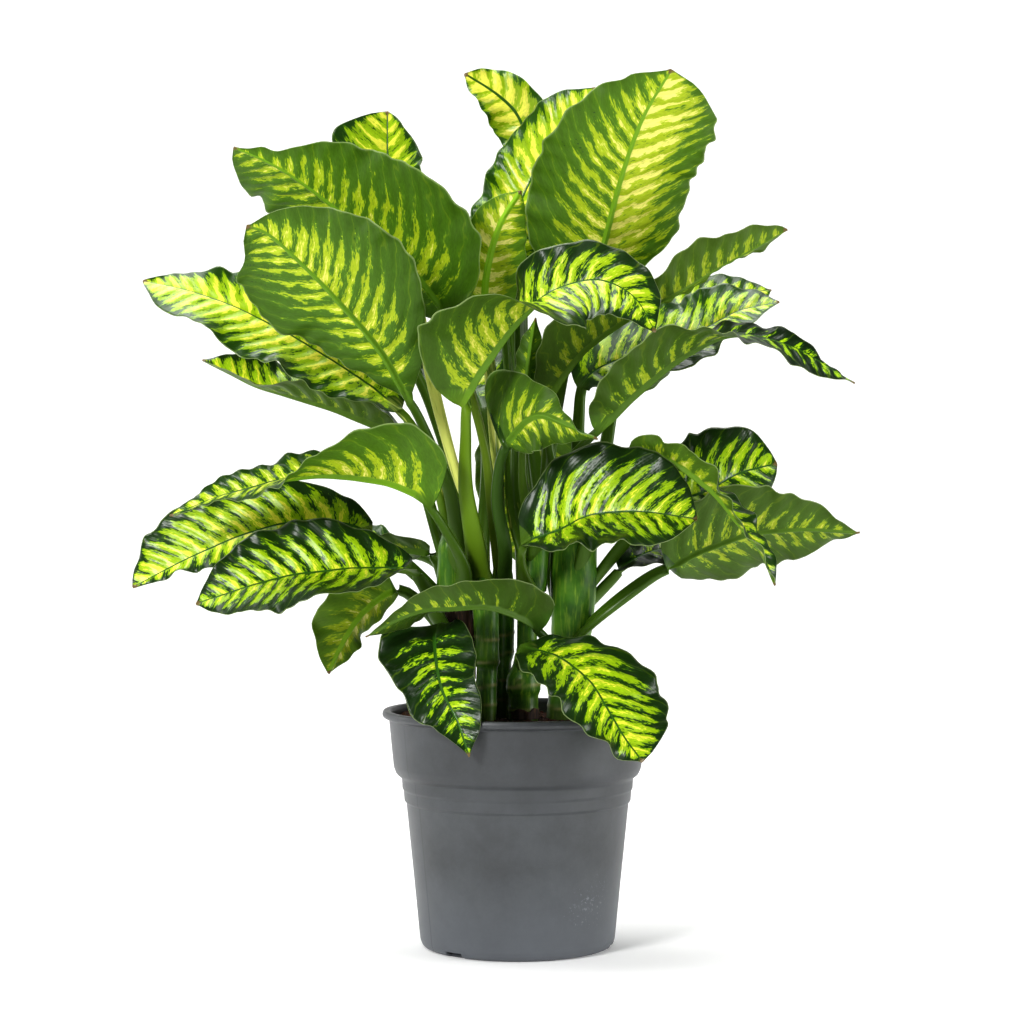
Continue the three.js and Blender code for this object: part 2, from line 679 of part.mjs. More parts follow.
    stalk: [[46, 22, 268], [54, 64, 322], [76, 88, 370]],
    rib: [[95, 100, 389], [133, 130, 403], [173, 160, 403], [213, 185, 393]],
    face: [[-0.2, -0.3, 0.95], [0, -0.2, 1], [0.1, 0, 1], [0.2, 0.1, 0.95]],
    widths: [48, 48],
    fold: [[12, 12], [8, 8]],
    wave: [4, 2.6],
  },
  {
    name: 'back_centre_low',
    cane: 'right',
    stalk: [[44, 20, 285], [30, 52, 345], [26, 82, 410]],
    rib: [[20, 112, 446], [14, 138, 450], [9, 156, 420], [6, 164, 330]],
    face: [[0, -0.4, 0.9], [0, 0.2, 0.95], [0, 0.8, 0.6], [0, 0.97, 0.2]],
    widths: [50, 50],
    fold: [[12, 12], [8, 8]],
    wave: [4, 2.6],
  },
  {
    name: 'back_middle',
    cane: 'mid_left',
    stalk: [[-30, -1, 298], [-31, 46, 355], [-28, 80, 420], [-30, 98, 465]],
    rib: [[-35, 110, 487], [-49, 140, 515], [-64, 175, 540], [-74, 205, 546]],
    face: [[0, -0.6, 0.8], [0, -0.5, 0.85], [0, -0.3, 0.95], [0, -0.1, 1]],
    widths: [46, 46],
    fold: [[12, 12], [8, 8]],
    wave: [4, 2.6],
    sheath: 7,
  },
];

// The columns of corners across the blade, from the left margin to the right one: each is
// [side, part of the half width, 1 if it stands at the rib's foot]
const COLUMNS = [[-1, 1], [-1, 0.55], [-1, 0, 1], [0, 0], [1, 0, 1], [1, 0.55], [1, 1]];
const RIB_SHARE = 0.3;

// The same columns as directions round the stalk, in degrees from its right side
const STALK_ANGLES = [168, 130, 104, 90, 76, 50, 12, -12, -50, -76, -90, -104, -130, -168];

// The frame of a leaf's line where it has run a share t of its points
function frameAt(curve, t, normal) {
  const tangent = curve.getTangent(t);
  const up = normal.clone().addScaledVector(tangent, -normal.dot(tangent)).normalize();
  return { at: curve.getPoint(t), tangent, up, across: tangent.clone().cross(up) };
}

// The shares of the curve's points at even steps of length between two of them
function evenSteps(curve, from, to, count) {
  const samples = 60;
  const lengths = [0];
  for (let i = 1; i <= samples; i++) {
    const before = curve.getPoint(blend(from, to, (i - 1) / samples));
    const here = curve.getPoint(blend(from, to, i / samples));
    lengths.push(lengths[i - 1] + before.distanceTo(here));
  }
  const total = lengths[samples];
  const shareAt = (part) => {
    const i = Math.max(1, lengths.findIndex((length) => length >= part * total - 1e-9));
    const inside = (part * total - lengths[i - 1]) / (lengths[i] - lengths[i - 1]);
    return blend(from, to, (i - 1 + inside) / samples);
  };
  const steps = count ?? Math.max(3, Math.round(total / STALK_STEP));
  return { total, steps, shareAt };
}

function stalkRing(leaf, frame, part) {
  const halfAcross = blend(leaf.sheath ?? SHEATH_RADIUS, STALK_RADIUS, part);
  const halfDeep = blend(SHEATH_DEPTH, STALK_DEPTH, part);
  return STALK_ANGLES.map((angle) => {
    const turn = THREE.MathUtils.degToRad(angle);
    return frame.at.clone()
      .addScaledVector(frame.across, halfAcross * Math.cos(turn))
      .addScaledVector(frame.up, halfDeep * Math.sin(turn));
  });
}

// How much of its full width one half of the blade has a share s of the way to the tip
function outline(leaf, half, s) {
  const base = (leaf.roundness ?? [BASE_ROUNDNESS, BASE_ROUNDNESS])[half];
  const tip = (leaf.sharpness ?? [TIP_SHARPNESS, TIP_SHARPNESS])[half];
  const peak = base / (base + tip);
  let swell = 1;
  for (const [side, middle, part, spread] of leaf.swells ?? []) {
    if (side === half) swell += part * Math.exp(-Math.pow((s - middle) / spread, 2));
  }
  return swell * Math.pow(s / peak, base) * Math.pow((1 - s) / (1 - peak), tip);
}

function bladeRing(leaf, frame, s) {
  const [waveHeight, waves] = leaf.wave;
  const calm = Math.sqrt(4 * s * (1 - s));
  const top = [];
  const under = [];
  for (const [side, share, atRib] of COLUMNS) {
    const half = side > 0 ? 1 : 0;
    const halfWidth = Math.max(leaf.widths[half] * outline(leaf, half, s), TIP_WIDTH);
    const out = atRib ? Math.min(RIB_WIDTH / 2 / halfWidth, RIB_SHARE) : share;
    const angle = THREE.MathUtils.degToRad(blend(leaf.fold[0][half], leaf.fold[1][half], s));
    const normal = frame.up.clone().multiplyScalar(Math.cos(angle))
      .addScaledVector(frame.across, -side * Math.sin(angle));
    const phase = 2 * Math.PI * waves * s + WAVE_LAG * half;
    const ripple = waveHeight * calm * out * out * Math.sin(phase);
    const back = (leaf.lobe ?? BASE_LOBE) * out * Math.pow(1 - s, 4);
    const middle = frame.at.clone()
      .addScaledVector(frame.across, side * out * halfWidth * Math.cos(angle))
      .addScaledVector(frame.up, out * halfWidth * Math.sin(angle))
      .addScaledVector(normal, ripple)
      .addScaledVector(frame.tangent, -back);
    const halfDeep = BLADE_THICKNESS / 2 / Math.cos(angle);
    const ribDepth = side === 0 ? RIB_DEPTH * (1 - RIB_TAPER * s) : 0;
    top.push(middle.clone().addScaledVector(frame.up, halfDeep));
    under.push(middle.clone().addScaledVector(frame.up, -halfDeep - ribDepth));
  }
  return [...top, ...under.reverse()];
}

function leafSolid(leaf) {
  const points = [...leaf.stalk, ...leaf.rib].map(point);
  const curve = new THREE.CatmullRomCurve3(points, false, 'catmullrom', 0.5);
  const spans = points.length - 1;
  const bladeStart = leaf.stalk.length / spans;
  const faces = leaf.face.map(point);
  const foot = points[0];
  const lean = points[leaf.stalk.length].clone().sub(foot).setZ(0).normalize().negate();
  const rings = [];
  const stalk = evenSteps(curve, 0, bladeStart);
  const stalkEnd = 1 - (leaf.lobe ?? BASE_LOBE) / stalk.total;
  const frames = [];
  for (let i = 0; i <= stalk.steps; i++) {
    const before = i === 0 ? lean : frames[i - 1].up;
    frames.push(frameAt(curve, stalk.shareAt(stalkEnd * i / stalk.steps), before));
  }
  const lastFrame = frames[stalk.steps];
  const goal = frameAt(curve, stalk.shareAt(stalkEnd), faces[0]).up;
  const twist = Math.atan2(goal.dot(lastFrame.across), goal.dot(lastFrame.up));
  frames.forEach((frame, i) => {
    const part = i / stalk.steps;
    const up = frame.up.clone().applyAxisAngle(frame.tangent, twist * smooth(part));
    const across = frame.tangent.clone().cross(up);
    rings.push(stalkRing(leaf, { ...frame, up, across }, part));
  });
  const length = evenSteps(curve, bladeStart, 1, 1).total;
  const steps = Math.max(6, Math.round(length / BLADE_STEP));
  const blade = evenSteps(curve, bladeStart, 1, steps);
  const parts = [0.03];
  for (let i = 1; i <= steps; i++) parts.push(i / steps);
  for (const s of parts) {
    const share = blade.shareAt(s);
    const place = (share - bladeStart) * spans;
    const k = Math.min(Math.floor(place), faces.length - 2);
    const normal = faces[k].clone().lerp(faces[k + 1], place - k);
    rings.push(bladeRing(leaf, frameAt(curve, share, normal), s));
  }
  return solid(skin(rings, COLUMNS.length));
}

for (const leaf of leaves) {
  const body = largest(leafSolid(leaf).subtract(caneRooms[leaf.cane]));
  addPiece(`leaf_${leaf.name}`, geometryOf(body), 0x4d8a2c, 0.35);
}

export default plant;
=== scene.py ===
"""A potted dieffenbachia: waved, cream-streaked leaves on five canes in a moulded nursery pot."""
import json
import math
import random

import bmesh
import bpy
from mathutils import Matrix, Vector, noise

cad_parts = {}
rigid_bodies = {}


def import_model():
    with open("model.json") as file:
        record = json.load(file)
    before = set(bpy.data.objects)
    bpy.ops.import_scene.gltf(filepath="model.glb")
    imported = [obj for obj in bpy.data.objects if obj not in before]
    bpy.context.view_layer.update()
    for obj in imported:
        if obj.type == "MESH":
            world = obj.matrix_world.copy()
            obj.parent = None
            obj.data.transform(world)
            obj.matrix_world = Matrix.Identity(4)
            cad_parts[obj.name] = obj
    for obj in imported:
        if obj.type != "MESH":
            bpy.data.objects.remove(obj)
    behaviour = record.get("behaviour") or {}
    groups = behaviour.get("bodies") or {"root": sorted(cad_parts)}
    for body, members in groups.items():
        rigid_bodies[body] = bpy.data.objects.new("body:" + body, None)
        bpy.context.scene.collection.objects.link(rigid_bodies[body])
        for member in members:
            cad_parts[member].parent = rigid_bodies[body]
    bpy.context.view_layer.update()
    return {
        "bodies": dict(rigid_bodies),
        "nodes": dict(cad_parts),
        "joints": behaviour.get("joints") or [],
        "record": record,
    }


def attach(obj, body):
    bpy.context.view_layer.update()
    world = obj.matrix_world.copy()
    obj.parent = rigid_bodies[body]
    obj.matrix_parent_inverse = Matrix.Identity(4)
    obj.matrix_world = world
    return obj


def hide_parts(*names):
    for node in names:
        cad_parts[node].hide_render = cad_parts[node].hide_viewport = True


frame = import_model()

# The photograph's view: a long lens a little above the middle of the plant, looking slightly down.
# Its distance and tilt, in metres and degrees, are those at which the pot's rim and foot curve as
# they do in the photograph.
CAMERA_PLACE = (-0.0049, -2.370, 0.431)
CAMERA_TILT = 1.11

camera_data = bpy.data.cameras.new("photo_camera")
camera_data.sensor_width = 36.0
camera_data.lens = 94.04
camera_data.clip_end = 20.0
camera = bpy.data.objects.new("photo_camera", camera_data)
camera.location = CAMERA_PLACE
camera.rotation_euler = (math.radians(90 - CAMERA_TILT), 0.0, 0.0)
bpy.context.scene.collection.objects.link(camera)
bpy.context.scene.camera = camera


# The pot is one injection moulding of dark grey polypropylene: a tapered wall with a rolled lip, a
# deeper band below it, two stacking rings and a rounded foot with three drain slots. The plastic is
# satin and scuffed pale where it was dragged past another pot. Its colour also holds painted shade
# on the band under the leaves, and painted light from the floor that makes it paler low down.
# Sizes are in mm, which MM turns to metres, and azimuths are in degrees
MM = 0.001
POT_FOOT_RADIUS = 86.4
POT_STEPS = 180
# No rounding takes more than this share of the straight on either side of its corner
CORNER_SHARE = 0.45
# The drains: where they stand round the foot, and how far from its corner faces are cut for them
DRAIN_AZIMUTHS = (-131, -11, 109)
DRAIN_WIDTH = 18
DRAIN_HEIGHT = 5
DRAIN_INNER_RADIUS = 76.4
DRAIN_REACH = 26


def linear(hex_colour):
    """An sRGB hex colour as linear RGBA."""
    parts = [int(hex_colour[i:i + 2], 16) / 255 for i in (1, 3, 5)]
    straight = [c / 12.92 if c <= 0.04045 else ((c + 0.055) / 1.055) ** 2.4 for c in parts]
    return (*straight, 1.0)


def add_node(tree, kind, inputs=None, out=None, stops=(), **settings):
    """Add a shader node with its settings, its inputs (values, or sockets that feed them) and any
    colour stops. Returns its output named out, or else the first one in use."""
    made = tree.nodes.new(kind)
    for key, value in settings.items():
        setattr(made, key, value)
    for key, value in (inputs or {}).items():
        socket = made.inputs[key] if isinstance(key, int) else next(
            s for s in made.inputs if s.enabled and s.name == key)
        if isinstance(value, bpy.types.NodeSocket):
            tree.links.new(value, socket)
        else:
            socket.default_value = value
    for index, (place, colour) in enumerate(stops):
        elements = made.color_ramp.elements
        last = index == len(stops) - 1
        element = elements[0] if index == 0 else elements[-1] if last else elements.new(place)
        element.position = place
        element.color = linear(colour)
    return next(s for s in made.outputs if s.enabled and (out is None or s.name == out))


def new_material(name):
    """An empty material, with its tree and its principled shader."""
    material = bpy.data.materials.new(name)
    material.use_nodes = True
    return material, material.node_tree, material.node_tree.nodes["Principled BSDF"]


def add_piece(name, mesh, material, node=None):
    """Make a finished mesh a smooth-shaded piece, in place of a CAD node if one is named."""
    data = bpy.data.meshes.new(name)
    mesh.to_mesh(data)
    mesh.free()
    data.polygons.foreach_set("use_smooth", [True] * len(data.polygons))
    data.materials.append(material)
    piece = bpy.data.objects.new(name, data)
    bpy.context.scene.collection.objects.link(piece)
    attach(piece, "root")
    if node:
        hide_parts(node)
    return piece


# Outside from the middle of the floor to the lip, then inside back down: radius, height, rounding
pot_profile = (
    (0, 0, 0), (79.4, 0, 1.5), (84.4, 2, 2), (86.4, 7, 2), (98.6, 128, 0.6), (100.4, 130, 0.8),
    (101, 139, 0.8), (102.2, 141, 0.8), (102.6, 150, 1.6), (107.6, 154, 2), (109.8, 160, 2),
    (113.9, 202, 1.2), (119, 204, 1.4), (120, 206.5, 1.4), (118.8, 210, 1.2), (113.2, 210, 1),
    (111.7, 207, 1), (107.6, 162, 2), (100.4, 150, 1.5), (96.4, 129, 1), (84.2, 7, 2),
    (79.4, 3, 1.5), (0, 3, 0),
)
pot_line = []
for i, (radius, height, rounding) in enumerate(pot_profile):
    here = Vector((radius, 0, height))
    if rounding == 0:
        pot_line.append(here)
        continue
    before = Vector((pot_profile[i - 1][0], 0, pot_profile[i - 1][1])) - here
    after = Vector((pot_profile[i + 1][0], 0, pot_profile[i + 1][1])) - here
    cut = min(rounding, CORNER_SHARE * before.length, CORNER_SHARE * after.length)
    start = here + before.normalized() * cut
    end = here + after.normalized() * cut
    pot_line += [start.lerp(here, t).lerp(here.lerp(end, t), t) for t in (0, 0.33, 0.67, 1)]
pot_mesh = bmesh.new()
pot_verts = [pot_mesh.verts.new(p * MM) for p in pot_line]
pot_edges = [pot_mesh.edges.new(pair) for pair in zip(pot_verts, pot_verts[1:])]
bmesh.ops.spin(pot_mesh, geom=pot_verts + pot_edges, cent=(0, 0, 0), axis=(0, 0, 1),
               angle=math.tau, steps=POT_STEPS, use_merge=True)
bmesh.ops.remove_doubles(pot_mesh, verts=pot_mesh.verts, dist=1e-6)


def open_drain(mesh, azimuth):
    """Cut one slot through the pot's foot corner, and close its sides."""
    turn = Matrix.Rotation(math.radians(azimuth), 3, "Z")
    middle = turn @ Vector((POT_FOOT_RADIUS * MM, 0, 0))
    near = [f for f in mesh.faces
            if (f.calc_center_median() - middle).length < DRAIN_REACH * MM]
    side = turn @ Vector((0, 1, 0))
    cuts = (
        (side * DRAIN_WIDTH / 2 * MM, side), (side * -DRAIN_WIDTH / 2 * MM, side),
        (Vector((0, 0, DRAIN_HEIGHT * MM)), Vector((0, 0, 1))),
        (turn @ Vector((DRAIN_INNER_RADIUS * MM, 0, 0)), turn @ Vector((1, 0, 0))),
    )
    for place, normal in cuts:
        geometry = (near + list({e for f in near for e in f.edges})
                    + list({v for f in near for v in f.verts}))
        made = bmesh.ops.bisect_plane(mesh, geom=geometry, dist=1e-7, plane_co=place,
                                      plane_no=normal)
        near = [g for g in made["geom"] if isinstance(g, bmesh.types.BMFace)]
    inside = []
    for face in near:
        p = turn.inverted() @ face.calc_center_median() / MM
        if abs(p.y) < DRAIN_WIDTH / 2 and p.z < DRAIN_HEIGHT and p.x > DRAIN_INNER_RADIUS:
            inside.append(face)
    bmesh.ops.delete(mesh, geom=inside, context="FACES")
    bmesh.ops.bridge_loops(mesh, edges=[e for e in mesh.edges if e.is_boundary])


for azimuth in DRAIN_AZIMUTHS:
    open_drain(pot_mesh, azimuth)
bmesh.ops.recalc_face_normals(pot_mesh, faces=pot_mesh.faces)

# Which way the mould's halves part, and the middle of the scuffed patch low on the right
SEAM_ACROSS = (0.5, -0.866, 0.0)
RUB_MIDDLE = (0.065, -0.07, 0.045)

# Moulded polypropylene, satin: faint clouds 70 mm across, an orange-peel skin of about 1 mm, pale
# scuffs of 3 mm in one patch, painted shade on the band under the leaves, and painted light from the
# floor that makes it paler low down
plastic, tree, shader = new_material("moulded_polypropylene")
place = add_node(tree, "ShaderNodeTexCoord", out="Object")
xyz = add_node(tree, "ShaderNodeSeparateXYZ", {"Vector": place}).node.outputs
cloud = add_node(tree, "ShaderNodeTexNoise", {"Vector": place, "Scale": 14.0, "Detail": 9.0,
                                              "Roughness": 0.75})
grain = add_node(tree, "ShaderNodeTexNoise", {"Vector": place, "Scale": 900.0, "Detail": 2.0})
tone = add_node(tree, "ShaderNodeValToRGB", {"Fac": cloud},
                stops=((0.3, "#383a3c"), (0.7, "#4b4e51")))
# Painted shade of the leaves: darker on the band below the lip, a little lighter on the wall under
# it
painted_collar_shade = add_node(tree, "ShaderNodeMapRange", {"Value": xyz["Z"], "From Min": 0.12,
                                               "From Max": 0.155, "To Min": 1.06, "To Max": 0.84})
collar_shaded_tone = add_node(tree, "ShaderNodeVectorMath", {0: tone, "Scale": painted_collar_shade}, operation="SCALE")
rub = add_node(tree, "ShaderNodeTexNoise", {"Vector": place, "Scale": 330.0, "Detail": 4.0,
                                            "Roughness": 0.75})
rub_reach = add_node(tree, "ShaderNodeVectorMath", {0: place, 1: RUB_MIDDLE},
                     operation="DISTANCE", out="Value")
rub_near = add_node(tree, "ShaderNodeMapRange", {"Value": rub_reach, "From Min": 0.0,
                                                 "From Max": 0.045, "To Min": 1.0, "To Max": 0.72})
rub_sum = add_node(tree, "ShaderNodeMath", {0: rub, 1: rub_near}, operation="MULTIPLY")
rub_mask = add_node(tree, "ShaderNodeMapRange", {"Value": rub_sum, "From Min": 0.53, "From Max": 0.6,
                                                 "To Max": 0.55})
# Painted light bounced up from the floor: paler towards the foot, fading out by 80 mm up
painted_floor_light_height = add_node(tree, "ShaderNodeMapRange", {"Value": xyz["Z"], "From Min": 0.0,
                                                    "From Max": 0.08, "To Min": 0.45,
                                                    "To Max": 0.0})
rubbed = add_node(tree, "ShaderNodeMix", {"Factor": rub_mask, "A": collar_shaded_tone, "B": linear("#8f959c")},
                  data_type="RGBA")
floor_lit_tone = add_node(tree, "ShaderNodeMix", {"Factor": painted_floor_light_height, "A": rubbed, "B": linear("#747980")},
                 data_type="RGBA")
# The mould's two halves meet in a fine line up either side of the pot
seam_side = add_node(tree, "ShaderNodeVectorMath", {0: place, 1: SEAM_ACROSS},
                     operation="DOT_PRODUCT", out="Value")
seam_reach = add_node(tree, "ShaderNodeMath", {0: seam_side}, operation="ABSOLUTE")
seam = add_node(tree, "ShaderNodeMapRange", {"Value": seam_reach, "From Min": 0.0006,
                                             "From Max": 0.0013, "To Min": 1.0, "To Max": 0.0})
seamed = add_node(tree, "ShaderNodeMix", {
    "Factor": add_node(tree, "ShaderNodeMath", {0: seam, 1: 0.35}, operation="MULTIPLY"),
    "A": floor_lit_tone, "B": linear("#202326")}, data_type="RGBA")
bump = add_node(tree, "ShaderNodeBump", {"Height": grain, "Strength": 0.08, "Distance": 0.0004})
tree.links.new(seamed, shader.inputs["Base Color"])
tree.links.new(bump, shader.inputs["Normal"])
shader.inputs["Roughness"].default_value = 0.46
shader.inputs["IOR"].default_value = 1.49
add_piece("moulded_pot", pot_mesh, plastic, "pot")


# The soil is damp peat and bark, poured in and pressed down around the canes, a little higher in
# the middle: one body with a crumbly top, and loose crumbs and bark chips lying on it. It is dark
# reddish brown and quite dull, with paler dry fibres.
SOIL_STEPS = 160
# The top rises evenly from its edge to the middle, in rings
SOIL_EDGE_RADIUS = 100
SOIL_EDGE_HEIGHT = 197.6
SOIL_RISE = 4.2
SOIL_RINGS = 40
# The surface is crumbly above the first height, and heaped up above the second. The crumbling
# fades out over the last few millimetres before the pot's wall.
CRUMBLY_ABOVE = 196
HEAPED_ABOVE = 190
CALM_RADIUS = 109
CALM_BAND = 6
LUMP_ACROSS = 14
LUMP_HEIGHT = 1.9
GRAIN_ACROSS = 4.5
GRAIN_HEIGHT = 1.3
HEAP_PLACE = (-92, 40)
HEAP_ACROSS = 45
HEAP_HEIGHT = 8.5

# Up the outside from the middle of the bottom: radius, height
soil_profile = ((0, 3.3), (78.4, 3.3), (83.6, 7.6), (95.8, 129), (99.8, 150), (106.4, 163),
                (110, 193), (108, 196.5), (100, 197.4))
soil_mesh = bmesh.new()
soil_line = [Vector((r, 0, z)) for r, z in soil_profile]
for i in range(1, SOIL_RINGS + 1):
    soil_line.append(Vector((SOIL_EDGE_RADIUS - SOIL_EDGE_RADIUS * i / SOIL_RINGS, 0,
                             SOIL_EDGE_HEIGHT + SOIL_RISE * i / SOIL_RINGS)))
soil_verts = [soil_mesh.verts.new(p * MM) for p in soil_line]
soil_edges = [soil_mesh.edges.new(pair) for pair in zip(soil_verts, soil_verts[1:])]
bmesh.ops.spin(soil_mesh, geom=soil_verts + soil_edges, cent=(0, 0, 0), axis=(0, 0, 1),
               angle=math.tau, steps=SOIL_STEPS, use_merge=True)
bmesh.ops.remove_doubles(soil_mesh, verts=soil_mesh.verts, dist=1e-6)
bmesh.ops.recalc_face_normals(soil_mesh, faces=soil_mesh.faces)


def soil_height(x, y):
    """How far the crumbly top stands above or below its even surface, in mm, at a place in mm."""
    lumps = noise.noise(Vector((x / LUMP_ACROSS, y / LUMP_ACROSS, 3.1))) * LUMP_HEIGHT
    grains = noise.noise(Vector((x / GRAIN_ACROSS, y / GRAIN_ACROSS, 7.7))) * GRAIN_HEIGHT
    return lumps + grains


def soil_heap(x, y):
    """How much higher the soil lies where it was pushed up against the pot's left side."""
    away = (x - HEAP_PLACE[0]) ** 2 + (y - HEAP_PLACE[1]) ** 2
    return HEAP_HEIGHT * math.exp(-away / HEAP_ACROSS ** 2)


for vert in soil_mesh.verts:
    x, y = vert.co.x / MM, vert.co.y / MM
    if vert.co.z > CRUMBLY_ABOVE * MM:
        calm = min(1, (CALM_RADIUS - vert.co.xy.length / MM) / CALM_BAND)
        vert.co.z += soil_height(x, y) * calm * MM
    if vert.co.z > HEAPED_ABOVE * MM:
        vert.co.z += soil_heap(x, y) * MM

# Peat and composted bark: dull, dark and reddish, in grains of 3 mm and clods of 17 mm, with pale
# fibres 5 mm long and 1 mm wide
peat, tree, shader = new_material("peat_and_bark")
place = add_node(tree, "ShaderNodeTexCoord", out="Object")
grains = add_node(tree, "ShaderNodeTexVoronoi", {"Vector": place, "Scale": 330.0, "Randomness": 1.0})
clods = add_node(tree, "ShaderNodeTexNoise", {"Vector": place, "Scale": 60.0, "Detail": 6.0,
                                              "Roughness": 0.7})
fibre_turn = add_node(tree, "ShaderNodeMapping", {"Vector": place, "Rotation": (0.0, 0.0, 0.7),
                                                  "Scale": (1.0, 5.0, 1.0)})
fibres = add_node(tree, "ShaderNodeTexNoise", {"Vector": fibre_turn, "Scale": 190.0,
                                               "Detail": 3.0, "Distortion": 1.5})
earth = add_node(tree, "ShaderNodeValToRGB", {"Fac": clods},
                 stops=((0.3, "#1c100b"), (0.5, "#3a2118"), (0.7, "#5e3a2a")))
pale = add_node(tree, "ShaderNodeMapRange", {"Value": fibres, "From Min": 0.62, "From Max": 0.7})
grain_tone = add_node(tree, "ShaderNodeMix", {"Factor": 0.35, "A": earth,
                                              "B": grains.node.outputs["Color"]},
                      data_type="RGBA", blend_type="MULTIPLY")
soil_tone = add_node(tree, "ShaderNodeMix", {"Factor": pale, "A": grain_tone,
                                             "B": linear("#8f6c4c")}, data_type="RGBA")
rough = add_node(tree, "ShaderNodeMath", {0: clods, 1: grains}, operation="ADD")
bump = add_node(tree, "ShaderNodeBump", {"Height": rough, "Strength": 0.8, "Distance": 0.002})
tree.links.new(soil_tone, shader.inputs["Base Color"])
tree.links.new(bump, shader.inputs["Normal"])
shader.inputs["Roughness"].default_value = 0.95
shader.inputs["Specular IOR Level"].default_value = 0.2

# Stations up each cane: x, y, height and radius in mm, the same as the solids' own
canes = {
    "left": ((-50, 14, 150, 11), (-51, 14, 205, 12), (-53, 14, 245, 14), (-54, 14, 283, 15.5),
             (-56, 12, 318, 16), (-58, 8, 350, 13), (-59, 7, 370, 8)),
    "mid_left": ((-29, -4, 150, 10), (-29, -4, 205, 10.5), (-27, -4, 247, 9.5),
                 (-27, -4, 252, 11.6), (-27, -4, 258, 11), (-28, -5, 295, 11.5),
                 (-31, -8, 325, 10.5), (-34, -11, 345, 6.5)),
    "centre_left": ((-16, 18, 150, 8.6), (-15, 18, 205, 8.6), (-14, 18, 250, 8.8),
                    (-13, 18, 258, 10), (-12, 16, 290, 9.6), (-13, 14, 325, 9.6),
                    (-14, 14, 350, 6)),
    "centre": ((5, 0, 150, 13.4), (5, 0, 222, 13.6), (5, 0, 228, 15.6), (5, 0, 237, 15.4),
               (7, 1, 252, 11), (8, 2, 262, 9), (9, 3, 290, 9.5), (14, 6, 325, 13), (16, 9, 355, 13),
               (18, 12, 378, 7)),
    "right": ((37, 14, 150, 12.5), (38, 14, 205, 12.5), (42, 14, 238, 13), (43, 14, 243, 15),
              (45, 14, 252, 14), (49, 14, 285, 19), (50, 14, 320, 21), (51, 15, 355, 20.5),
              (51, 16, 385, 12)),
}

# Each cane stands in a plain hole: a straight plug a little wider than the cane is cut out
HOLE_STEPS = 40
HOLE_GAP = 0.4
HOLE_MIDDLE = 180
HOLE_DEPTH = 62

soil_block = add_piece("potting_soil", soil_mesh, peat, "soil")
plugs = bmesh.new()
for stations in canes.values():
    foot, head = stations[0], stations[1]
    reach = max(foot[3], head[3]) + HOLE_GAP
    middle = Vector(((foot[0] + head[0]) / 2, (foot[1] + head[1]) / 2, HOLE_MIDDLE))
    bmesh.ops.create_cone(plugs, cap_ends=True, segments=HOLE_STEPS, radius1=reach * MM,
                          radius2=reach * MM, depth=HOLE_DEPTH * MM,
                          matrix=Matrix.Translation(middle * MM))
plug_mesh = bpy.data.meshes.new("cane_holes")
plugs.to_mesh(plug_mesh)
plugs.free()
plug_object = bpy.data.objects.new("cane_holes", plug_mesh)
bpy.context.scene.collection.objects.link(plug_object)
holes = soil_block.modifiers.new("cane_holes", "BOOLEAN")
holes.object = plug_object
holes.operation = "DIFFERENCE"
bpy.context.view_layer.update()
pierced = soil_block.evaluated_get(bpy.context.evaluated_depsgraph_get())
pierced_mesh = bpy.data.meshes.new_from_object(pierced)
soil_block.modifiers.clear()
soil_block.data = pierced_mesh
bpy.data.objects.remove(plug_object)

# Crumbs and bark chips: small broken lumps of peat and flat flakes of bark on the surface, clear
# of the canes. They lie on a surface that is CRUMB_MIDDLE high in the middle of the pot. Sizes are
# radii in mm, and the tilt is in radians.
CRUMBS = 420
CRUMB_REACH = 104
CRUMB_CLEAR = 4
CRUMB_MIDDLE = 201.6
CRUMB_TILT = 0.35
CRUMB_ROUGHNESS = 0.28
CRUMB_SIZES = (1.0, 2.3)
CRUMB_FORM = (1, 0.85, 0.7)
CHIP_SHARE = 0.3
CHIP_SIZES = (2.2, 4.2)
CHIP_FORM = (1.5, 0.8, 0.3)

chance = random.Random(11)
crumb_mesh = bmesh.new()
for index in range(CRUMBS):
    turn = chance.uniform(0, math.tau)
    reach = CRUMB_REACH * math.sqrt(chance.uniform(0, 1))
    x, y = reach * math.cos(turn), reach * math.sin(turn)
    near = min((Vector((x, y)) - Vector(s[1][:2])).length - s[1][3] for s in canes.values())
    if near < CRUMB_CLEAR:
        continue
    chip = chance.random() < CHIP_SHARE
    size = chance.uniform(*(CHIP_SIZES if chip else CRUMB_SIZES))
    made = bmesh.ops.create_icosphere(crumb_mesh, subdivisions=1, radius=size * MM)
    for vert in made["verts"]:
        vert.co *= 1 + CRUMB_ROUGHNESS * noise.noise(vert.co / MM * 0.9 + Vector((index, 0, 0)))
    height = (CRUMB_MIDDLE - SOIL_RISE * reach / SOIL_EDGE_RADIUS + soil_height(x, y)
              + soil_heap(x, y) + 0.2 * size)
    matrix = (Matrix.Translation(Vector((x, y, height)) * MM)
              @ Matrix.Rotation(chance.uniform(0, math.tau), 4, "Z")
              @ Matrix.Rotation(chance.uniform(-CRUMB_TILT, CRUMB_TILT), 4, "X")
              @ Matrix.Diagonal((*(CHIP_FORM if chip else CRUMB_FORM), 1)))
    bmesh.ops.transform(crumb_mesh, matrix=matrix, verts=made["verts"])
add_piece("soil_crumbs", crumb_mesh, peat)


# The canes are the plant's fleshy stems: five of them, green, ringed with the scars of old leaves
# and swollen where the sheaths of the living ones spring. They stand in the soil, and their skin is
# smooth, waxy and finely streaked.
CANE_AROUND = 36
CANE_STEP = 2.5
CANE_UNEVEN = 0.012

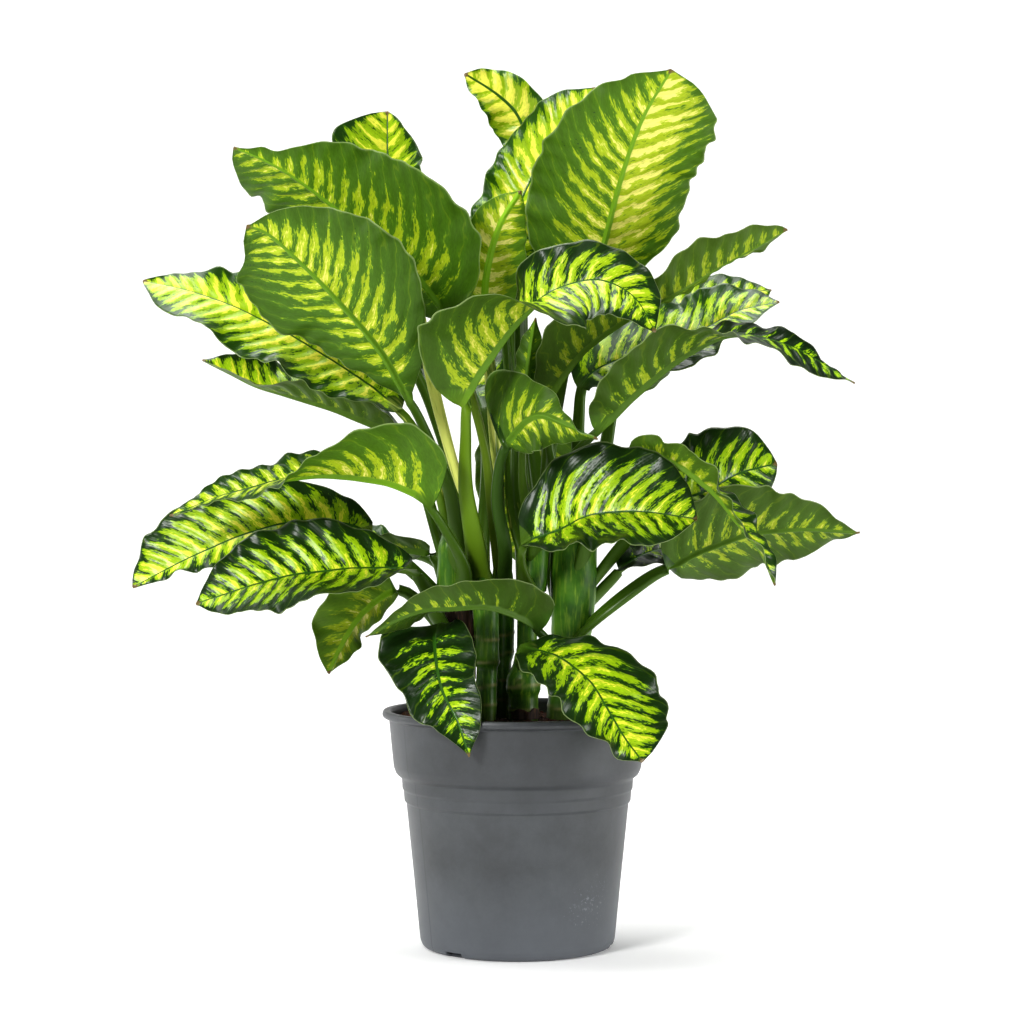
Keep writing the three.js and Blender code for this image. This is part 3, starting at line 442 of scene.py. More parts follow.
# Cane skin, waxy: blotches of 22 mm, streaks 2 mm wide and 20 mm long, straw-coloured scars, and a
# brownish foot where the soil has stained it
flesh, tree, shader = new_material("green_cane_skin")
place = add_node(tree, "ShaderNodeTexCoord", out="Object")
xyz = add_node(tree, "ShaderNodeSeparateXYZ", {"Vector": place}).node.outputs
long_way = add_node(tree, "ShaderNodeMapping", {"Vector": place, "Scale": (1.0, 1.0, 0.12)})
streaks = add_node(tree, "ShaderNodeTexNoise", {"Vector": long_way, "Scale": 420.0,
                                                "Detail": 3.0, "Roughness": 0.6})
blotches = add_node(tree, "ShaderNodeTexNoise", {"Vector": place, "Scale": 45.0, "Detail": 5.0})
skin_tone = add_node(tree, "ShaderNodeValToRGB", {"Fac": blotches},
                     stops=((0.3, "#2c5212"), (0.5, "#3f6a18"), (0.7, "#547e22")))
pale = add_node(tree, "ShaderNodeMapRange", {"Value": streaks, "From Min": 0.5, "From Max": 0.75,
                                             "To Max": 0.5})
streaked = add_node(tree, "ShaderNodeMix", {"Factor": pale, "A": skin_tone,
                                            "B": linear("#96b23c")}, data_type="RGBA")
scar = add_node(tree, "ShaderNodeAttribute", out="Fac", attribute_name="scar")
scarred = add_node(tree, "ShaderNodeMix", {"Factor": scar, "A": streaked,
                                           "B": linear("#8c8a55")}, data_type="RGBA")
low = add_node(tree, "ShaderNodeMapRange", {"Value": xyz["Z"], "From Min": 0.196, "From Max": 0.225,
                                            "To Min": 0.75, "To Max": 0.0})
footed = add_node(tree, "ShaderNodeMix", {"Factor": low, "A": scarred,
                                          "B": linear("#3a3a1d")}, data_type="RGBA")
bump = add_node(tree, "ShaderNodeBump", {"Height": streaks, "Strength": 0.25, "Distance": 0.0006})
tree.links.new(footed, shader.inputs["Base Color"])
tree.links.new(bump, shader.inputs["Normal"])
shader.inputs["Roughness"].default_value = 0.38
shader.inputs["IOR"].default_value = 1.45
shader.inputs["Specular IOR Level"].default_value = 0.32


def blend(a, b, t):
    """The value a share t of the way from a to b."""
    return a + (b - a) * t


def stations_about(stations, z):
    """A cane's stations below and above a height, and how far up it is from one to the other."""
    i = max(k for k, s in enumerate(stations[:-1]) if s[2] <= z + 1e-6)
    below, above = stations[i], stations[i + 1]
    return below, above, (z - below[2]) / (above[2] - below[2])


# Heights of the old leaf scars on each cane, in mm. They are low ridges that lean a little, and
# the skin between them lies a little inside the solid's, so that they stay close to it.
scars = {
    "left": (212, 228, 246, 268), "mid_left": (214, 232, 252, 274),
    "centre_left": (216, 236, 258, 276), "centre": (209, 232, 262), "right": (211, 226, 243, 271),
}
SCAR_LEAN = 1.6
SCAR_HALF_WIDTH = 1.1
SCAR_RIDGE = 0.55
SCAR_PALENESS = 0.8
SKIN_DROP = 0.25

# The round scar of a bud on one of them, in colour alone
BUD_CANE = "centre"
BUD_HEIGHT = 236
BUD_TURN = 1.42 * math.pi
BUD_RADIUS = 3
BUD_RIM = 0.9
BUD_PALENESS = 1.2


def close_ends(mesh):
    """Close the two open ends of a tube, and turn every face outwards."""
    bmesh.ops.holes_fill(mesh, edges=[e for e in mesh.edges if e.is_boundary])
    bmesh.ops.recalc_face_normals(mesh, faces=mesh.faces)


for cane, stations in canes.items():
    height = stations[-1][2] - stations[0][2]
    mesh = bmesh.new()
    bmesh.ops.create_grid(mesh, x_segments=CANE_AROUND, y_segments=round(height / CANE_STEP),
                          size=1)
    scar_mark = mesh.verts.layers.float.new("scar")
    for vert in mesh.verts:
        turn = math.pi * (vert.co.x + 1)
        z = stations[0][2] + height * ((vert.co.y + 1) / 2)
        below, above, t = stations_about(stations, z)
        x, y = (blend(below[k], above[k], t) for k in (0, 1))
        radius = blend(below[3], above[3], t * t * (3 - 2 * t))
        mark = max(math.exp(-((z - s - SCAR_LEAN * math.cos(turn + s)) / SCAR_HALF_WIDTH) ** 2)
                   for s in scars[cane])
        uneven = 1 + CANE_UNEVEN * math.sin(5 * turn + z / 30)
        radius = radius * uneven + SCAR_RIDGE * mark - SKIN_DROP
        if cane == BUD_CANE:
            reach = math.hypot(z - BUD_HEIGHT, (turn - BUD_TURN) * radius)
            mark = max(mark, BUD_PALENESS * math.exp(-((reach - BUD_RADIUS) / BUD_RIM) ** 2))
        vert[scar_mark] = mark * SCAR_PALENESS
        vert.co = Vector((x + radius * math.cos(turn), y + radius * math.sin(turn), z)) * MM
    bmesh.ops.remove_doubles(mesh, verts=mesh.verts, dist=1e-6)
    close_ends(mesh)
    add_piece(f"fleshy_cane_{cane}", mesh, flesh, f"cane_{cane}")


# Dry sheaths are what is left of old leaves: thin brown papery husks, still clasping two of the
# canes. They are torn along the top, pleated, striped lengthwise and quite dull.
HUSK_STEPS = 60
HUSK_ROWS = 16
HUSK_THICKNESS = 0.7
HUSK_GAP = 0.9
HUSK_TORN = 0.35
HUSK_PLEATS = 9
HUSK_PLEAT_HEIGHT = 0.4

# Dry sheath, papery: dull brown, with stripes 2 mm wide and 20 mm long
husk_skin, tree, shader = new_material("dry_leaf_sheath")
place = add_node(tree, "ShaderNodeTexCoord", out="Object")
long_way = add_node(tree, "ShaderNodeMapping", {"Vector": place, "Scale": (1.0, 1.0, 0.1)})
stripes = add_node(tree, "ShaderNodeTexNoise", {"Vector": long_way, "Scale": 480.0, "Detail": 4.0})
husk_tone = add_node(tree, "ShaderNodeValToRGB", {"Fac": stripes},
                     stops=((0.3, "#1a100a"), (0.55, "#382418"), (0.8, "#7a5c3a")))
bump = add_node(tree, "ShaderNodeBump", {"Height": stripes, "Strength": 0.5, "Distance": 0.0006})
tree.links.new(husk_tone, shader.inputs["Base Color"])
tree.links.new(bump, shader.inputs["Normal"])
shader.inputs["Roughness"].default_value = 0.75

# Each husk: its cane, its lower and upper height, how far it flares, and the turns in radians
# between which it goes round
husks = (("left", 236, 304, 3.0, 3.0, 6.4), ("centre", 202, 212, 0.8, 3.9, 6.0))
husk_mesh = bmesh.new()
for cane, low, high, flare, start, end in husks:
    stations = canes[cane]
    made = bmesh.ops.create_grid(husk_mesh, x_segments=HUSK_STEPS, y_segments=HUSK_ROWS, size=1)
    for vert in made["verts"]:
        turn = blend(start, end, (vert.co.x + 1) / 2)
        part = (vert.co.y + 1) / 2
        torn = 1 - HUSK_TORN * (noise.noise(Vector((turn * 3, low, 0.5))) + 0.4)
        z = low + (high - low) * part * torn
        below, above, t = stations_about(stations, z)
        x, y, radius = (blend(below[k], above[k], t) for k in (0, 1, 3))
        radius += HUSK_GAP + flare * part ** 2 + HUSK_PLEAT_HEIGHT * math.sin(HUSK_PLEATS * turn)
        vert.co = Vector((x + radius * math.cos(turn), y + radius * math.sin(turn), z)) * MM
bmesh.ops.recalc_face_normals(husk_mesh, faces=husk_mesh.faces)
bmesh.ops.solidify(husk_mesh, geom=husk_mesh.faces[:], thickness=HUSK_THICKNESS * MM)
bmesh.ops.recalc_face_normals(husk_mesh, faces=husk_mesh.faces)
add_piece("dry_sheaths", husk_mesh, husk_skin)


# The leaves: each is one living piece, a channelled stalk that clasps its cane, a rounded midrib
# and a waved blade, ribbed between its side veins and thin and rippled along its margin. Their
# lines, widths, folds and waves are the solids' own, here in finer steps.

# Lengths are in mm. stalk and rib run from inside the cane to the tip, and face is the way that
# the blade's top looks at each point of the rib. widths, roundness at the base and sharpness at
# the tip outline its (left, right) halves, and fold lifts them, in degrees, at the base and at the
# tip. wave is the height and the number of the margin's waves, sheath is half the stalk's width at
# its foot, and lobe is how far the blade's base reaches back. Each swell widens one half (0 is the
# left) about a share of the way to the tip: half, where, by what share, and over how long a share.
leaves = {
    "crown_right": dict(
        stalk=((19, 12, 358), (25, 22, 405), (32, 38, 467), (46, 41, 533)),
        rib=((66, 22, 581), (77, -2, 623), (90, -28, 675), (107, -46, 724), (132, -64, 767)),
        face=((0.1, 0.95, 0.25), (0.1, 0.93, 0.3), (0.1, 0.93, 0.3), (0.05, 0.93, 0.3),
            (0, 0.9, 0.4)),
        widths=(74, 78), fold=((30, 5), (15, 5)), wave=(4, 2.6), sharpness=(0.3, 0.75),
        swells=((0, 0.62, -0.12, 0.18), (0, 0.9, 0.08, 0.1), (1, 0.88, -0.1, 0.08))),
    "upper_left": dict(
        stalk=((-15, 11, 330), (-23, 4, 395), (-28, 3, 438), (-39, -2, 484), (-53, -8, 532)),
        rib=((-68, -14, 565), (-104, -22, 608), (-161, -34, 652), (-206, -42, 684),
            (-246, -48, 702)),
        face=((0.25, 0.9, 0.35), (0.25, 0.9, 0.35), (0.25, 0.9, 0.35), (0.2, 0.85, 0.4),
            (0.1, 0.8, 0.5)),
        widths=(76, 64), fold=((5, 25), (5, 30)), wave=(4, 2.4), sharpness=(1.1, 0.4),
        swells=((0, 0.86, -0.5, 0.07), (0, 0.7, 0.12, 0.08), (1, 0.9, 0.3, 0.08))),
    "broad_left": dict(
        stalk=((-56, 4, 329), (-54, -15, 369), (-61, -27, 409), (-75, -40, 444), (-88, -52, 473)),
        rib=((-99, -60, 490), (-119, -74, 526), (-153, -88, 566), (-187, -98, 601),
            (-211, -104, 622), (-229, -108, 629)),
        face=((0.2, 0.92, 0.33), (0.2, 0.92, 0.33), (0.2, 0.92, 0.33), (0.2, 0.9, 0.35),
            (0.15, 0.85, 0.45), (0.1, 0.8, 0.5)),
        widths=(75, 75), fold=((5, 15), (10, 20)), wave=(4, 2.7), roundness=(1.1, 1),
        sharpness=(1, 0.4)),
    "arching_left": dict(
        stalk=((-58, 10, 330), (-64, 16, 378), (-79, 18, 433), (-97, 20, 466)),
        rib=((-114, 20, 482), (-134, 20, 499), (-195, 16, 538), (-241, 12, 562), (-280, 8, 578),
            (-332, 4, 590)),
        face=((0.3, -0.5, 0.8), (0.3, -0.65, 0.65), (0.3, -0.7, 0.6), (0.25, -0.7, 0.65),
            (0.15, -0.7, 0.7), (0, -0.7, 0.7)),
        widths=(58, 48), fold=((15, 15), (8, 8)), wave=(5, 3), sharpness=(0.5, 0.8)),
    "folded_left": dict(
        stalk=((-58, 12, 320), (-71, 31, 362), (-86, 41, 413), (-100, 46, 449)),
        rib=((-118, 48, 459), (-153, 48, 473), (-192, 44, 486), (-237, 40, 499), (-283, 34, 521)),
        face=((0.25, -0.1, 0.95), (0.25, -0.1, 0.95), (0.25, -0.2, 0.9), (0.3, -0.5, 0.8),
            (0.3, -0.6, 0.7)),
        widths=(40, 40), fold=((35, 30), (35, 25)), wave=(3, 2.6)),
    "high_left": dict(
        stalk=((-29, -2, 322), (-37, 25, 372), (-52, 26, 412), (-64, 26, 452), (-76, 27, 500),
            (-88, 28, 561)),
        rib=((-101, 30, 608), (-111, 34, 651), (-116, 38, 691), (-117, 44, 745)),
        face=((0, -0.97, 0.1), (0, -0.97, 0.1), (0, -0.97, 0.2), (0, -0.97, 0.2)),
        widths=(52, 43), fold=((10, 50), (10, 35)), wave=(4, 2.2), sharpness=(0.45, 0.7),
        swells=((0, 0.88, 0.3, 0.08),)),
    "crown_back": dict(
        stalk=((16, 10, 316), (22, 40, 372), (16, 57, 430), (5, 66, 504), (4, 70, 595),
            (10, 70, 667)),
        rib=((11, 69, 710), (2, 67, 741), (-16, 65, 761), (-48, 61, 781)),
        face=((-0.4, -0.85, 0.1), (-0.4, -0.85, 0.2), (-0.3, -0.85, 0.3), (-0.1, -0.85, 0.4)),
        widths=(26, 27.5), fold=((10, 10), (10, 10)), wave=(3, 2)),
    "crown_centre": dict(
        stalk=((11, 11, 338), (-3, 32, 392), (-6, 46, 485), (-11, 50, 548)),
        rib=((-13, 46, 601), (-2, 44, 650), (20, 42, 699), (44, 38, 736), (70, 34, 765)),
        face=((-0.3, -0.9, 0.1), (-0.4, -0.88, 0.2), (-0.45, -0.85, 0.25), (-0.45, -0.85, 0.3),
            (-0.4, -0.85, 0.3)),
        widths=(47, 56), fold=((5, 10), (5, 10)), wave=(5, 2.6), swells=((0, 0.45, -0.16, 0.12),)),
    "pale_centre": dict(
        stalk=((-12, 17, 322), (-16, 30, 392), (-22, 28, 485), (-27, 22, 533)),
        rib=((-30, 16, 560), (-27, 12, 599), (-16, 10, 639), (3, 8, 670)),
        face=((0.2, 0.95, 0.2), (0.2, 0.95, 0.2), (0.2, 0.93, 0.25), (0.2, 0.9, 0.3)),
        widths=(32, 32), fold=((10, 10), (10, 10)), wave=(2.5, 2)),
    "arching_centre": dict(
        stalk=((-32, -7, 316), (-38, -28, 361), (-45, -42, 405), (-45, -54, 448)),
        rib=((-42, -64, 487), (-22, -74, 521), (2, -84, 552), (29, -90, 574), (66, -96, 584),
            (97, -104, 570), (116, -114, 539)),
        face=((-0.55, 0.62, 0.5), (-0.6, 0.55, 0.55), (-0.62, 0.2, 0.75), (-0.3, -0.6, 0.7),
            (0, -0.85, 0.5), (0.25, -0.85, 0.4), (0.5, -0.75, 0.3)),
        widths=(42, 67), fold=((45, 25), (5, 5)), wave=(3.5, 2.6), sheath=11,
        swells=((1, 0.16, 0.4, 0.14),)),
    "upper_right": dict(
        stalk=((46, 15, 342), (38, 12, 395), (28, 0, 449)),
        rib=((30, -8, 486), (48, -14, 515), (72, -20, 538), (107, -28, 560), (143, -34, 579),
            (183, -40, 603), (234, -46, 631)),
        face=((-0.45, 0.75, 0.5), (-0.45, 0.75, 0.5), (-0.45, 0.75, 0.5), (-0.4, 0.75, 0.5),
            (-0.35, 0.75, 0.5), (-0.35, 0.75, 0.5), (-0.3, 0.7, 0.6)),
        widths=(32, 40), fold=((60, 5), (40, 10)), wave=(4, 3), roundness=(0.5, 0.5),
        sharpness=(0.72, 0.5),
        swells=((1, 0.2, 0.5, 0.14), (1, 0.5, -0.4, 0.16), (1, 0.85, -0.15, 0.1))),
    "striped_right": dict(
        stalk=((50, 20, 341), (54, 34, 413), (55, 33, 467)),
        rib=((60, 32, 501), (84, 30, 518), (122, 28, 530), (159, 24, 544), (196, 20, 563),
            (233, 14, 572)),
        face=((-0.25, -0.6, 0.75), (-0.25, -0.6, 0.75), (-0.25, -0.6, 0.75), (-0.25, -0.6, 0.75),
            (-0.2, -0.6, 0.75), (0, -0.6, 0.8)),
        widths=(54, 54), fold=((10, 10), (10, 10)), wave=(3.5, 3), lobe=6),
    "long_right": dict(
        stalk=((16, 4, 345), (24, -18, 391), (39, -32, 424), (62, -44, 450)),
        rib=((78, -50, 464), (112, -64, 497), (150, -72, 525), (189, -74, 539), (237, -76, 527),
            (289, -76, 497)),
        face=((-0.45, 0.7, 0.55), (-0.45, 0.6, 0.65), (-0.35, 0.3, 0.85), (-0.1, -0.25, 0.95),
            (0.25, -0.6, 0.75), (0.4, -0.6, 0.65)),
        widths=(32, 50), fold=((35, 10), (10, 10)), wave=(4, 3), sharpness=(1.4, 0.8), sheath=12),
    "twisted_centre": dict(
        stalk=((-13, 12, 312), (-11, -27, 352), (-18, -40, 396), (-15, -42, 430)),
        rib=((-8, -50, 446), (0, -61, 457), (10, -74, 466), (22, -84, 469), (40, -92, 462),
            (68, -100, 449)),
        face=((0.75, 0.53, -0.05), (0.75, 0.53, -0.05), (0.6, 0.65, -0.25), (0.3, 0.85, -0.1),
            (0.25, 0.85, 0.4), (0.1, 0.3, 0.9)),
        widths=(30, 68), fold=((10, 0), (10, 10)), wave=(3, 2), roundness=(0.6, 0.3),
        sharpness=(0.9, 2.6), sheath=7, lobe=4),
    "front_centre": dict(
        stalk=((12, -2, 307), (6, -24, 330), (4, -40, 351)),
        rib=((11, -50, 361), (37, -62, 371), (62, -74, 383), (87, -84, 387), (113, -92, 386),
            (152, -104, 381)),
        face=((0, -0.75, 0.65), (0, -0.75, 0.65), (0, -0.75, 0.65), (0, -0.75, 0.65),
            (0.1, -0.75, 0.65), (0.2, -0.75, 0.6)),
        widths=(64, 62), fold=((25, 25), (20, 20)), wave=(3, 3), roundness=(0.5, 0.9),
        sharpness=(0.6, 0.45)),
    "low_right_back": dict(
        stalk=((54, 16, 306), (83, 20, 342), (109, 18, 373)),
        rib=((123, 16, 386), (149, 12, 396), (174, 8, 407), (197, 4, 419), (230, 0, 428)),
        face=((-0.2, -0.8, 0.5), (-0.2, -0.8, 0.5), (-0.2, -0.8, 0.5), (-0.2, -0.8, 0.5),
            (-0.1, -0.8, 0.55)),
        widths=(54, 50), fold=((10, 10), (10, 10)), wave=(3.5, 2.6), sharpness=(0.5, 0.5)),
    "low_right_long": dict(
        stalk=((48, 8, 270), (73, -8, 294), (99, -14, 315), (120, -18, 330)),
        rib=((137, -20, 338), (159, -22, 350), (200, -26, 365), (228, -28, 369), (260, -30, 370),
            (299, -34, 368)),
        face=((-0.2, 0.75, 0.6), (-0.2, 0.75, 0.6), (-0.2, 0.75, 0.6), (-0.1, 0.75, 0.6),
            (0, 0.75, 0.6), (0, 0.75, 0.6)),
        widths=(52, 54), fold=((10, 10), (10, 10)), wave=(3.5, 2.6), sharpness=(0.95, 1.1),
        sheath=11, lobe=6),
    "drooping_right": dict(
        stalk=((52, 6, 316), (64, -8, 369), (83, -26, 413)),
        rib=((106, -50, 438), (133, -70, 429), (161, -88, 409), (187, -100, 379), (206, -106, 352),
            (218, -108, 325)),
        face=((0.1, 0.6, 0.8), (0.3, 0.5, 0.8), (0.5, 0.2, 0.8), (0.7, -0.3, 0.6),
            (0.75, -0.4, 0.5), (0.8, -0.4, 0.4)),
        widths=(26, 26), fold=((20, 20), (20, 20)), wave=(2.5, 2.4)),
    "small_right": dict(
        stalk=((50, 18, 288), (69, 24, 308), (85, 22, 325)),
        rib=((99, 22, 339), (123, 24, 350), (155, 28, 355), (186, 30, 359)),
        face=((-0.2, -0.5, 0.85), (-0.2, -0.5, 0.85), (-0.1, -0.5, 0.85), (0, -0.5, 0.85)),
        widths=(28, 28), fold=((10, 10), (10, 10)), wave=(2.5, 2)),
    "front_right": dict(
        stalk=((8, 0, 250), (2, -40, 261), (5, -60, 268)),
        rib=((14, -70, 268), (36, -84, 262), (61, -98, 243), (76, -110, 220), (90, -118, 197),
            (105, -124, 177)),
        face=((0.2, -0.5, 0.85), (0.35, -0.6, 0.75), (0.45, -0.65, 0.6), (0.45, -0.7, 0.5),
            (0.45, -0.7, 0.5), (0.4, -0.75, 0.5)),
        widths=(60, 50), fold=((5, 5), (5, 5)), wave=(3, 2.6), roundness=(0.65, 0.5),
        sharpness=(0.45, 0.75), swells=((1, 0.75, -0.12, 0.12),)),
    "front_left": dict(
        stalk=((-53, 8, 240), (-60, -22, 266), (-68, -44, 286)),
        rib=((-72, -58, 280), (-70, -78, 258), (-64, -96, 234), (-51, -112, 210), (-41, -120, 181)),
        face=((0, -0.6, 0.8), (-0.05, -0.8, 0.6), (-0.05, -0.85, 0.5), (0, -0.9, 0.4),
            (0, -0.95, 0.2)),
        widths=(37, 50), fold=((25, 0), (20, 10)), wave=(3, 2.4), roundness=(0.35, 0.3),
        sharpness=(0.8, 1.1), lobe=16, swells=((1, 0.42, -0.2, 0.15),)),
    "front_low": dict(
        stalk=((42, 8, 240), (30, -12, 266), (20, -28, 280)),
        rib=((9, -42, 290), (-9, -56, 299), (-29, -68, 304), (-55, -78, 303), (-88, -84, 300),
            (-130, -88, 280)),
        face=((0.1, 0.85, 0.5), (0.1, 0.85, 0.5), (0.1, 0.85, 0.5), (0, 0.85, 0.5), (0, 0.85, 0.5),
            (0, 0.85, 0.5)),
        widths=(34, 40), fold=((5, 65), (5, 40)), wave=(3, 2), roundness=(0.25, 0.5),
        sharpness=(1.15, 0.72), lobe=14),
    "lower_left_front": dict(
        stalk=((-58, 6, 272), (-70, -20, 292), (-77, -32, 312), (-86, -40, 328)),
        rib=((-96, -44, 336), (-131, -52, 337), (-164, -58, 335), (-198, -62, 331),
            (-232, -66, 322), (-277, -70, 307)),
        face=((0, -0.5, 0.85), (0, -0.7, 0.7), (0, -0.7, 0.7), (0, -0.7, 0.7), (0, -0.7, 0.7),
            (0, -0.7, 0.7)),
        widths=(56, 50), fold=((35, 25), (10, 15)), wave=(3, 2.8), roundness=(0.6, 0.7)),
    "lower_left_back": dict(
        stalk=((-57, 12, 297), (-78, 16, 318), (-100, 14, 338), (-122, 8, 356)),
        rib=((-136, 4, 368), (-156, 0, 375), (-192, -4, 377), (-236, -8, 367), (-289, -12, 345),
            (-339, -16, 319)),
        face=((0, -0.8, 0.6), (0, -0.8, 0.6), (0, -0.8, 0.6), (0, -0.8, 0.6), (0, -0.8, 0.6),
            (0, -0.8, 0.6)),
        widths=(30, 52), fold=((12, 12), (8, 8)), wave=(3.5, 2.8), roundness=(0.5, 0.7),
        sharpness=(1, 0.55)),
    "twisted_left": dict(
        stalk=((-50, -2, 308), (-47, -28, 337), (-61, -42, 367), (-74, -52, 388)),
        rib=((-84, -58, 399), (-113, -64, 411), (-147, -66, 417), (-186, -62, 417),
            (-240, -56, 405), (-302, -50, 383)),
        face=((0.35, 0.8, 0.5), (0.3, 0.8, 0.5), (0.15, 0.5, 0.85), (0, -0.1, 1),
            (-0.15, -0.5, 0.85), (-0.2, -0.6, 0.8)),
        widths=(60, 34), fold=((5, 65), (10, 10)), wave=(3, 2.8), roundness=(0.3, 0.5),
        sharpness=(1.4, 0.7), sheath=10, swells=((1, 0.7, -0.35, 0.2), (0, 0.25, 0.12, 0.1))),
    "low_left_small": dict(
        stalk=((-55, 14, 261), (-78, 24, 292), (-96, 27, 310)),
        rib=((-110, 28, 314), (-131, 28, 301), (-150, 24, 279), (-169, 18, 240)),
        face=((-0.5, 0.75, 0.35), (-0.5, 0.75, 0.35), (-0.5, 0.75, 0.35), (-0.5, 0.75, 0.35)),
        widths=(40, 22), fold=((10, 10), (10, 10)), wave=(2.5, 2), sheath=7, lobe=4),
    "behind_left": dict(
        stalk=((-56, 16, 288), (-67, 38, 328)),
        rib=((-79, 36, 347), (-115, 44, 351), (-156, 52, 354), (-197, 58, 354)),
        face=((0, 0.4, 0.9), (0, 0.4, 0.9), (0, 0.4, 0.9), (0, 0.4, 0.9)),
        widths=(26, 26), fold=((10, 10), (10, 10)), wave=(2.5, 2), lobe=4),
    "young_centre": dict(
        stalk=((13, 9, 364), (5, 5, 413)),
        rib=((6, 2, 458), (8, 2, 493), (11, 0, 524), (16, -2, 557)),
        face=((0, 1, 0.1), (0, 1, 0.1), (0, 1, 0.1), (0, 1, 0.1)),
        widths=(15, 15), fold=((30, 30), (30, 30)), wave=(2, 2), sheath=8),
    "back_left_high": dict(
        stalk=((-51, 19, 298), (-49, 60, 380), (-80, 96, 482)),
        rib=((-112, 108, 541), (-146, 125, 588), (-184, 145, 627), (-224, 165, 653)),
        face=((0.2, -0.6, 0.8), (0.2, -0.6, 0.8), (0.2, -0.5, 0.85), (0.2, -0.4, 0.9)),
        widths=(55, 55), fold=((12, 12), (8, 8)), wave=(4, 2.6)),
    "back_centre_high": dict(
        stalk=((9, 7, 292), (6, 50, 356), (0, 78, 440), (-4, 92, 532)),
        rib=((-7, 102, 578), (3, 122, 626), (12, 150, 675), (22, 180, 716)),
        face=((0, -0.85, 0.5), (0, -0.85, 0.5), (0, -0.8, 0.6), (0, -0.7, 0.7)),
        widths=(52, 52), fold=((12, 12), (8, 8)), wave=(4, 2.6)),
    "back_right_high": dict(
        stalk=((54, 18, 316), (74, 60, 405), (88, 78, 486)),
        rib=((99, 90, 532), (135, 115, 560), (185, 140, 582), (240, 160, 592)),
        face=((-0.2, -0.5, 0.9), (-0.1, -0.5, 0.9), (0, -0.5, 0.9), (0.1, -0.4, 0.95)),
        widths=(50, 50), fold=((12, 12), (8, 8)), wave=(4, 2.6)),
    "back_left_low": dict(
        stalk=((-54, 16, 258), (-52, 56, 300), (-74, 90, 335)),
        rib=((-109, 110, 346), (-157, 135, 351), (-205, 160, 355), (-255, 185, 350)),
        face=((0, -0.15, 1), (0, -0.15, 1), (0, -0.15, 1), (-0.1, 0, 1)),
        widths=(50, 50), fold=((12, 12), (8, 8)), wave=(4, 2.6), sheath=6),
    "back_right_low": dict(
        stalk=((46, 22, 268), (54, 64, 322), (76, 88, 370)),
        rib=((95, 100, 389), (133, 130, 403), (173, 160, 403), (213, 185, 393)),
        face=((-0.2, -0.3, 0.95), (0, -0.2, 1), (0.1, 0, 1), (0.2, 0.1, 0.95)),
        widths=(48, 48), fold=((12, 12), (8, 8)), wave=(4, 2.6)),
    "back_centre_low": dict(
        stalk=((44, 20, 285), (30, 52, 345), (26, 82, 410)),
        rib=((20, 112, 446), (14, 138, 450), (9, 156, 420), (6, 164, 330)),
        face=((0, -0.4, 0.9), (0, 0.2, 0.95), (0, 0.8, 0.6), (0, 0.97, 0.2)),
        widths=(50, 50), fold=((12, 12), (8, 8)), wave=(4, 2.6)),
    "back_middle": dict(
        stalk=((-30, -1, 298), (-31, 46, 355), (-28, 80, 420), (-30, 98, 465)),
        rib=((-35, 110, 487), (-49, 140, 515), (-64, 175, 540), (-74, 205, 546)),
        face=((0, -0.6, 0.8), (0, -0.5, 0.85), (0, -0.3, 0.95), (0, -0.1, 1)),
        widths=(46, 46), fold=((12, 12), (8, 8)), wave=(4, 2.6), sheath=7),
}

# Columns of the grid from the middle to the midrib's edge and to the margin, and steps along it
RIB_COLUMNS = 3
HALF_COLUMNS = 20
BLADE_STEP = 2.8
STALK_STEP = 7
FEWEST_STALK_ROWS = 8
LENGTH_SAMPLES = 120
# Where the stalk's end turns into the blade: how many rows this takes, up to what share of the
# blade, its length in mm for the pattern, and how it widens (below 1 for rounded shoulders)
BASE_ROWS = 7
BASE_SHARE = 0.03
BASE_LENGTH = 12
BASE_FLARE = 0.55


def line_at(points, t):
    """A point of the smooth line through the points, a share t of the way along them."""
    spans = len(points) - 1
    i = min(int(t * spans), spans - 1)
    w = t * spans - i
    b, c = points[i], points[i + 1]
    a = points[i - 1] if i > 0 else 2 * b - c
    d = points[i + 2] if i + 2 <= spans else 2 * c - b
    start, end = 0.5 * (c - a), 0.5 * (d - b)
    return (b + start * w + (3 * (c - b) - 2 * start - end) * w * w
            + (2 * (b - c) + start + end) * w ** 3)


def frame_at(points, t, normal):
    """Where the leaf's line is, and its directions along, towards the blade's top and across."""
    along = (line_at(points, min(t + 1e-4, 1)) - line_at(points, max(t - 1e-4, 0))).normalized()
    up = (normal - along * normal.dot(along)).normalized()
    return line_at(points, t), along, up, along.cross(up)


def even_steps(points, start, end):
    """The length of a stretch of the line, and a function from a part of that length to the share
    of the way along the points that it reaches."""
    lengths = [0.0]
    for i in range(LENGTH_SAMPLES):
        here = line_at(points, blend(start, end, (i + 1) / LENGTH_SAMPLES))
        before = line_at(points, blend(start, end, i / LENGTH_SAMPLES))
        lengths.append(lengths[-1] + (here - before).length)

    def share_at(part):
        """The share of the way along the points at which this part of the length is reached."""
        goal = part * lengths[-1]
        i = next((k for k in range(1, LENGTH_SAMPLES) if lengths[k] >= goal - 1e-9),
                 LENGTH_SAMPLES)
        inside = (goal - lengths[i - 1]) / (lengths[i] - lengths[i - 1])
        return blend(start, end, (i - 1 + inside) / LENGTH_SAMPLES)
    return lengths[-1], share_at


def across_columns(column, at_rib, at_margin):
    """A measure that grows evenly from 0 in the middle to the midrib's edge, then to the margin."""
    far = abs(column)
    if far <= RIB_COLUMNS:
        return at_rib * far / RIB_COLUMNS
    return blend(at_rib, at_margin, (far - RIB_COLUMNS) / (HALF_COLUMNS - RIB_COLUMNS))


